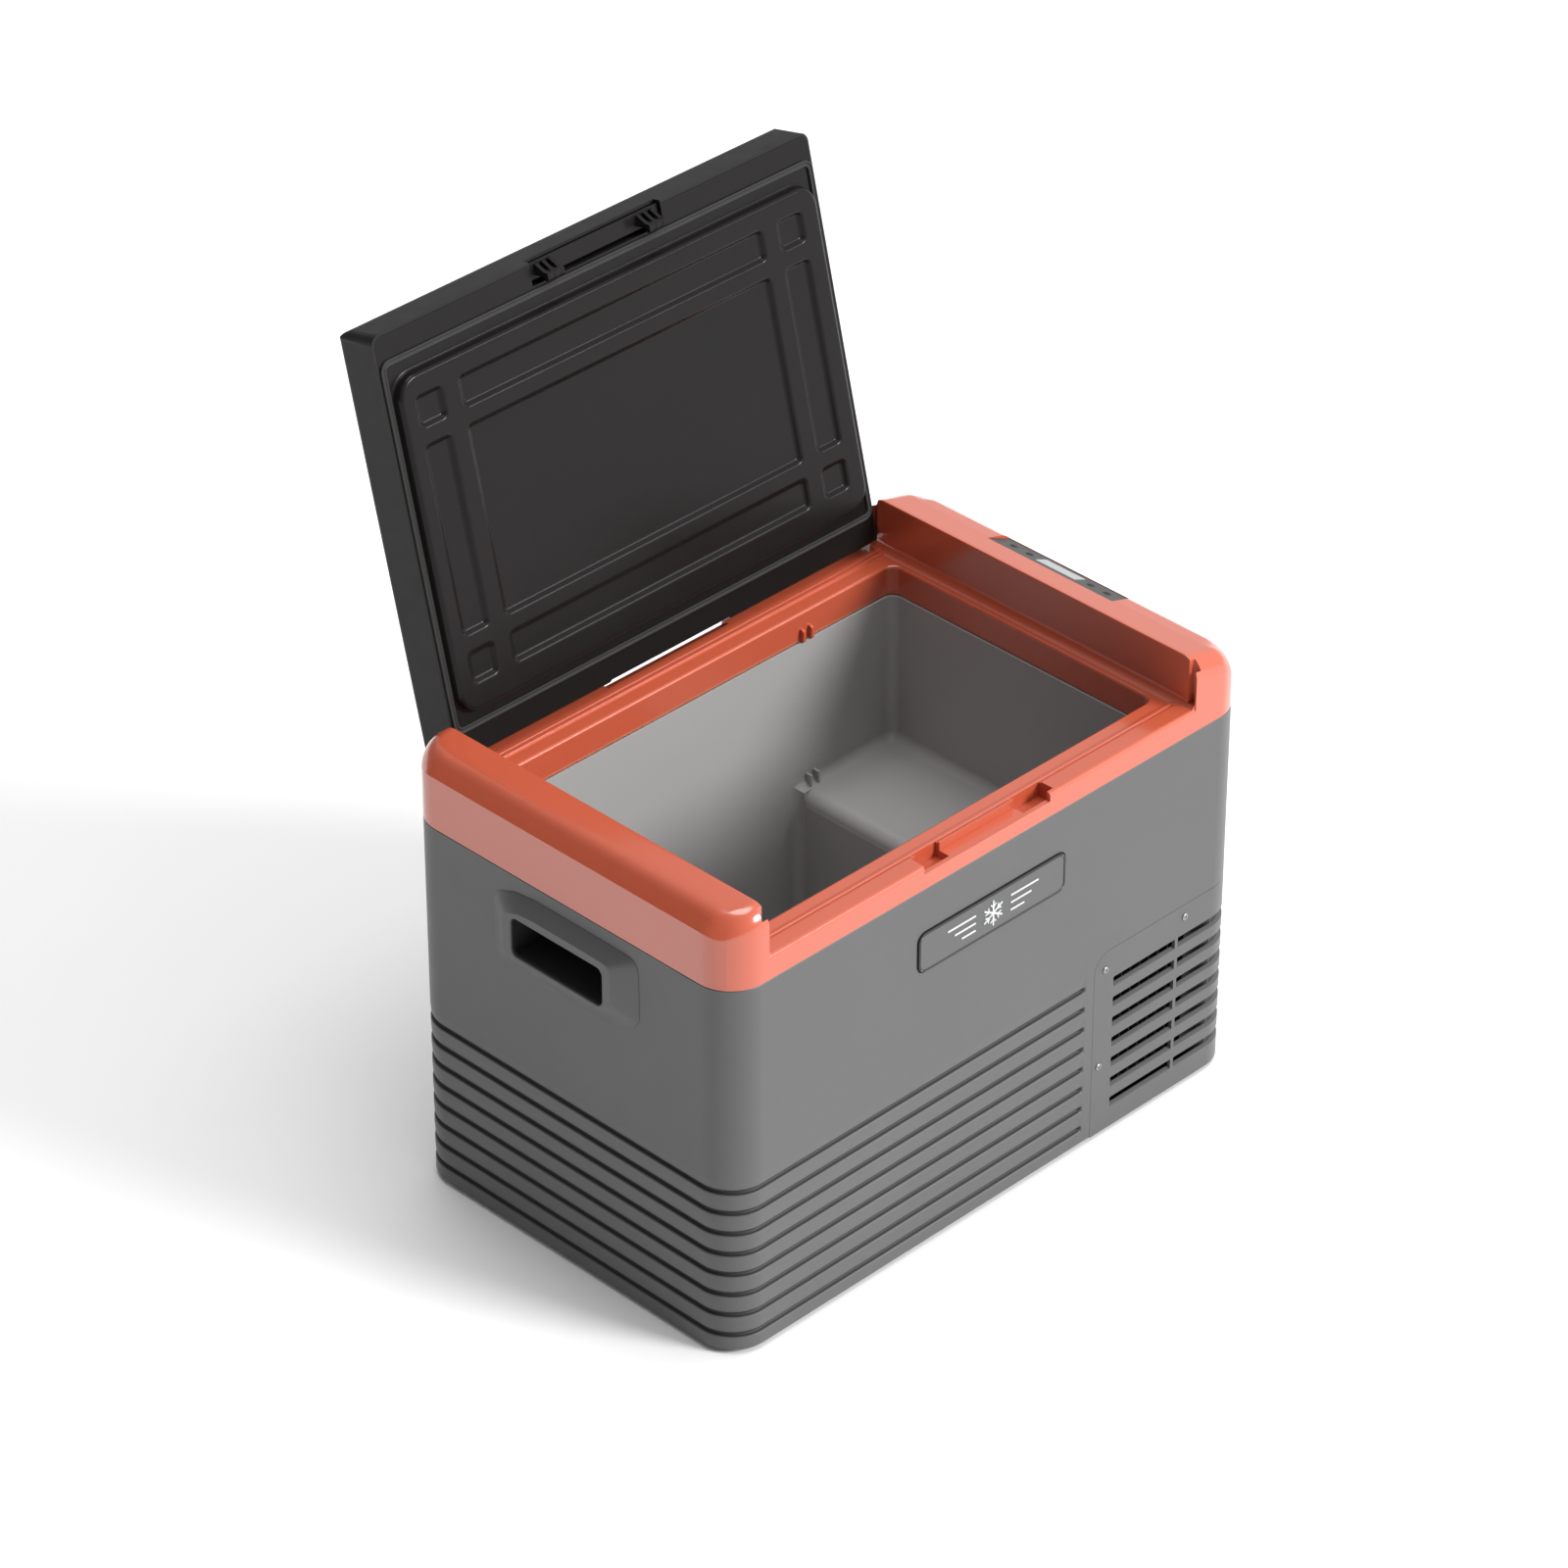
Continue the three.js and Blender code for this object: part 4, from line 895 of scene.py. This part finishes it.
def build_panel():
    """The tilted face plate, its display and its button caps."""
    edge = ((-2.2, 0), (-0.4, 0), (-0.1, -0.1), (0, -0.4))
    plate = loft("panel_face", [level(PANEL_RECT, d, n, 5) for n, d in edge])
    tools = [prism("w", rrect(-8.3, 8.3, -22.3, 22.3, 1.2, 5), -5, 5)]
    for y in BUTTON_YS:
        tools.append(prism("h", [(a, y + b) for a, b in circle(BUTTON_HOLE_R, 32)], -5, 5))
    cut(plate, *tools)
    plate.data.transform(panel_matrix())
    place(plate, "case", "dark_plastic", "control_panel", material=DARK)
    edge = ((-2.2, 0), (-0.1, 0), (0.2, -0.3))
    lens = loft("panel_display", [level(LENS_RECT, d, n, 5) for n, d in edge])
    lens.data.transform(panel_matrix())
    place(lens, "case", "display", "display_lens", material=DISPLAY)
    for i, y in enumerate(BUTTON_YS, 1):
        loops = [[(a, y + b, h) for a, b in circle(r, 32)] for r, h in BUTTON_SHAPE]
        cap = loft(f"button_cap_{i}", loops)
        cap.data.transform(panel_matrix())
        place(cap, f"button_{i}", "soft_rubber", f"button_{i}", material=RUBBER)


# ------------------------------------------------------------------ lid, drawn shut then swung open
def lid_section(inset, z0):
    """The lid's outline across y: upright sides, rolled over above the crease."""
    wide, tall = LID_ROLL_Y - inset, LID_ROLL_Z - inset
    turns = [math.radians(90 * i / 12) for i in range(13)]
    pts = [(LID_Y1 - inset, z0)]
    pts += [(LID_Y1 - LID_ROLL_Y + wide * math.cos(a), LID_CREASE + tall * math.sin(a)) for a in turns]
    turns.reverse()
    pts += [(LID_Y0 + LID_ROLL_Y - wide * math.cos(a), LID_CREASE + tall * math.sin(a)) for a in turns]
    return pts + [(LID_Y0 + inset, z0)]


def lid_solid(inset, z0, r_side):
    """The lid's solid outside, or its inside when inset."""
    x0, x1, top = LID_X0 + inset, LID_X1 - inset, LID_Z1 - inset
    body = prism("lid_cover", lid_section(inset, z0), x0 - 1, x1 + 1, "yz")
    edge = [(x0, z0 - 1)] + [(x1, z0 - 1)] + arc(x1 - r_side, top - r_side, r_side, 0, 90, 8)
    edge += arc(x0 + r_side, top - r_side, r_side, 90, 180, 8)
    csg(body, "INTERSECT", prism("e", edge, -300, 300, "xz"))
    plan = rrect(x0, x1, LID_Y0 + inset, LID_Y1 - inset, LID_CORNER_R - inset, 8)
    return csg(body, "INTERSECT", prism("p", plan, 300, 500))


def pocket_wall(edge=4.0, slope=50.0, depth=3.6):
    """Offset and height down a pocket's side: a round over, a short slope, a round into the floor."""
    straight = depth - 2 * edge * (1 - math.cos(math.radians(slope)))
    run = straight / math.tan(math.radians(slope))
    reach = edge * math.sin(math.radians(slope))
    points = []
    for i in range(7):
        a = math.radians(slope * i / 6)
        points.append((reach + run / 2 - edge * math.sin(a), PLUG_Z + edge * (1 - math.cos(a))))
    for i in range(7):
        a = math.radians(slope * (1 - i / 6))
        points.append((-reach - run / 2 + edge * math.sin(a), PLUG_Z + depth - edge * (1 - math.cos(a))))
    return points


POCKET_WALL = pocket_wall()
PLUG_RECT = (-241, 216, -143.4, 143.4, 20)


def lid_plug():
    """The raised part of the liner that drops into the tub, with a rounded foot and edge."""
    foot_r, edge_r = 2.5, 3.5
    turns = [math.radians(a) for a in range(0, 91, 15)]
    loops = [level(PLUG_RECT, edge_r, LID_Z0 + 1, 12)]
    for a in turns:
        loops.append(level(PLUG_RECT, foot_r * (1 - math.sin(a)), LID_Z0 - foot_r * (1 - math.cos(a)), 12))
    for a in turns:
        offset = -0.4 - edge_r * (1 - math.cos(a))
        loops.append(level(PLUG_RECT, offset, PLUG_Z + edge_r - edge_r * math.sin(a), 12))
    loops.append(level(PLUG_RECT, -6, PLUG_Z, 12))
    return loft("plug", loops)


def lid_pockets():
    """Cutters for the grid of shallow pockets in the liner."""
    cutters = []
    for a0, a1 in POCKET_COLS:
        for b0, b1 in POCKET_ROWS:
            rect = (a0 + LINER_X, a1 + LINER_X, b0 + LINER_Y, b1 + LINER_Y, 4)
            rings = [level(rect, 3.4, 355, 6)] + [level(rect, d, z, 6) for d, z in POCKET_WALL]
            cutters.append(loft("pocket", rings))
    return cutters


def build_lid():
    """Shell, liner, gasket and latch."""
    shell = lid_solid(0, LID_Z0, 8)
    cut(shell, lid_solid(LID_WALL, 360, 6))
    for x0, x1 in ((206, 224), (-249, -231)):
        join(shell, block("boss", x0, x1, 172, 180, 374.2, 385))
    chamfer = [(178.7, 370), (190, 370), (190, 382.3), (181.6, 373.9), (178.7, 371)]
    cut(shell, block("front_window", RECESS_X0, RECESS_X1, -190, -165, 360, WINDOW_TOP),
        block("rear_window", REAR_X0, REAR_X1, 176, 190, 360, WINDOW_TOP),
        prism("ch", chamfer, -300, 300, "yz"),
        rod("pin", PIN_HOLE_R, (200, HINGE_Y, HINGE_Z), "x", 0, 40),
        rod("pin", PIN_HOLE_R, (-220, HINGE_Y, HINGE_Z), "x", -50, 0))
    place(swing_open(shell), "lid", "lid_plastic", "lid_shell", material=LIDGRAIN, angle=30)

    x0, x1 = LID_X0 + 2.8, LID_X1 - 2.8
    low = LID_Z0 + 0.05
    tray = prism("lid_inner", rrect(x0, x1, LID_Y0 + 2.8, 178.6, 3, 4), low, LID_Z0 + 2.5)
    join(tray, lid_plug())
    join(tray, block("latch_box", RECESS_X0 - 2, RECESS_X1 + 2, -179.7, -160.5, low, 397),
         block("rear_lip", REAR_X0 - 2, REAR_X1 + 2, 173.4, 175.4, low, 381))
    cut(tray, block("void", RECESS_X0, RECESS_X1, -200, -162.5, 350, 395),
        rod("pivot", 2.5, (0, -LATCH_Y, LATCH_Z), "x", -100, 100))
    cut(tray, *lid_pockets())
    cut(tray, disc_groove(20.6, 0.55, 364.8))
    place(swing_open(tray), "lid", "lid_plastic", "lid_liner", material=LIDBLACK, angle=30)
    build_gasket()
    place(swing_open(latch_mesh()), "front_latch", "lid_plastic", "front_latch", material=LIDBLACK)


def disc_groove(r, half, z):
    """Cutter for the faint circle in the middle of the liner."""
    section = ((-half, -0.3), (half, -0.3), (half * 0.4, 0.5), (-half * 0.4, 0.5))
    seg = 72
    loops = []
    for i in range(seg):
        a = 2 * math.pi * i / seg
        loops.append([(LINER_X + (r + u) * math.cos(a), LINER_Y + (r + u) * math.sin(a), z + v)
                      for u, v in section])
    return ring_skin("groove", loops)


def build_gasket():
    """A soft ring with two beads and a valley between them."""
    rect = (-245.5, 221.2, -157.4, 155.4, 7)
    section = [(-2.7, 370.45), (-2.7, 369.5), (-2.3, 368.95), (-1.7, 368.75), (-1.1, 368.95),
               (-0.6, 369.6), (0, 369.8), (0.6, 369.6), (1.1, 368.95), (1.7, 368.75), (2.3, 368.95),
               (2.55, 369.5), (2.55, 370.45)]
    gasket = ring_skin("lid_seal", [level(rect, d, z) for d, z in section])
    place(swing_open(gasket), "lid", "soft_rubber", "lid_gasket", material=RUBBER, angle=60)


def latch_mesh():
    """Lever bar with two ribbed hooks; sections are distance forward and height."""
    toe, hook_w, rib_w = 359.0, 17.7, 3.2

    def flip(points):
        return [(-y, z) for y, z in points]

    lever = flip([(180, 374), (180, 376.3), (177.5, 376.3), (177.5, 383), (178.3, 384), (178.3, 388.5),
                  (174, 392.5), (169, 392.5), (165.5, 388), (165.5, 380), (167, 376.3), (166, 376.3),
                  (166, 374)])
    bar = prism("latch_lever", lever, RECESS_X0 + 1, RECESS_X1 - 1, "yz")
    parts = [rod("shaft", 2.1, (0, -LATCH_Y, LATCH_Z), "x", RECESS_X0 - 1.8, RECESS_X1 + 1.8)]
    rib = flip([(176.5, 377), (178, 375), (178, 372.5), (172.4, 363.5), (172.4, toe + 1), (171.2, toe),
                (167, toe), (165, toe + 1.5), (165, toe + 3.5), (168.6, toe + 6.5), (168.6, 377)])
    web = flip([(172.2, 375), (172.2, toe + 1.4), (170.4, toe + 1.4), (170.4, 375)])
    nose = flip([(171.2, toe + 0.3), (167, toe + 0.3), (165.3, toe + 1.7), (165.3, toe + 3.4),
                 (172, toe + 3.4), (172, toe + 1.2)])
    for x in HOOK_XS:
        for step in (-1, 0, 1):
            middle = x + step * (hook_w - rib_w) / 2
            parts.append(prism("rib", rib, middle - rib_w / 2, middle + rib_w / 2, "yz"))
        for bridge in (web, nose):
            parts.append(prism("bridge", bridge, x - hook_w / 2, x + hook_w / 2, "yz"))
    return bevel(join(bar, *parts), 0.35)


# ------------------------------------------------------------------ build everything
build_case()
build_vent()
build_rim()
build_tub()
build_handles()
build_badge()
build_panel()
build_lid()
for node in NODES.values():
    if not node.hide_render:
        shade(node.data, 30)

# ------------------------------------------------------------------ stage, light, camera
FLOOR_HALF = 12.0
mesh = bpy.data.meshes.new("floor")
corners = [(FLOOR_HALF * a, FLOOR_HALF * b, 0) for a, b in ((-1, -1), (1, -1), (1, 1), (-1, 1))]
mesh.from_pydata(corners, [], [(0, 1, 2, 3)])
floor = bpy.data.objects.new("floor", mesh)
floor.location.z = CAD_BOX[0][2]
bpy.context.scene.collection.objects.link(floor)
white = material("floor_paint", (0.93, 0.93, 0.93), 0.9, grain=0.02, grain_scale=300, mottle=0.003)
mesh.materials.append(white)

# A white surround, brightest towards the front right and dim behind the left end
world = bpy.data.worlds.new("studio")
bpy.context.scene.world = world
world.use_nodes = True
sky = world.node_tree
sky.nodes["Background"].inputs["Color"].default_value = (1, 1, 1, 1)
facing = sky.nodes.new("ShaderNodeTexCoord")
side = sky.nodes.new("ShaderNodeVectorMath")
side.operation = "DOT_PRODUCT"
side.inputs[1].default_value = (0.84, -0.42, 0.34)
glow = sky.nodes.new("ShaderNodeMapRange")
glow.inputs["From Min"].default_value = -0.8
glow.inputs["To Min"].default_value = 0.05
glow.inputs["To Max"].default_value = 0.95
sky.links.new(facing.outputs["Generated"], side.inputs[0])
sky.links.new(side.outputs["Value"], glow.inputs["Value"])
sky.links.new(glow.outputs["Result"], sky.nodes["Background"].inputs["Strength"])


def sun_light(name, towards, strength, spread):
    """Even light from a wide soft source; towards points from the object to the light."""
    light = bpy.data.lights.new(name, "SUN")
    light.energy = strength
    light.angle = math.radians(spread)
    obj = bpy.data.objects.new(name, light)
    obj.rotation_euler = Vector(towards).to_track_quat("Z", "Y").to_euler()
    bpy.context.scene.collection.objects.link(obj)


sun_light("key", (0.42, -0.86, 0.5), 3.2, 20)
sun_light("top", (0.12, 0.05, 1.0), 1.5, 36)

# The camera's direction, focal length in pixels, distance in metres, frame in pixels, and the pixel
# on which the point at height AIM_Z over the origin falls
AZ, EL = math.radians(-45.117), math.radians(33.822)
FOCAL, DIST, FRAME, SENSOR = 6638.0, 5.2717, 1600, 36
AIM_PIXEL, AIM_Z = (848.64, 905.45), 0.22
back = Vector((math.sin(AZ) * math.cos(EL), -math.cos(AZ) * math.cos(EL), math.sin(EL)))
right = Vector((math.cos(AZ), math.sin(AZ), 0))
up = back.cross(right)
shift_x = (AIM_PIXEL[0] - FRAME / 2) / FOCAL * DIST
shift_y = (AIM_PIXEL[1] - FRAME / 2) / FOCAL * DIST
aim = Vector((0, 0, AIM_Z)) - right * shift_x + up * shift_y
camera = bpy.data.cameras.new("camera")
camera.sensor_width = SENSOR
camera.lens = SENSOR * FOCAL / FRAME
camera.clip_end = 60
cam = bpy.data.objects.new("camera", camera)
cam.matrix_world = Matrix.Translation(aim + back * DIST) @ Matrix((right, up, back)).transposed().to_4x4()
bpy.context.scene.collection.objects.link(cam)
bpy.context.scene.camera = cam
bpy.context.scene.view_settings.view_transform = "Standard"
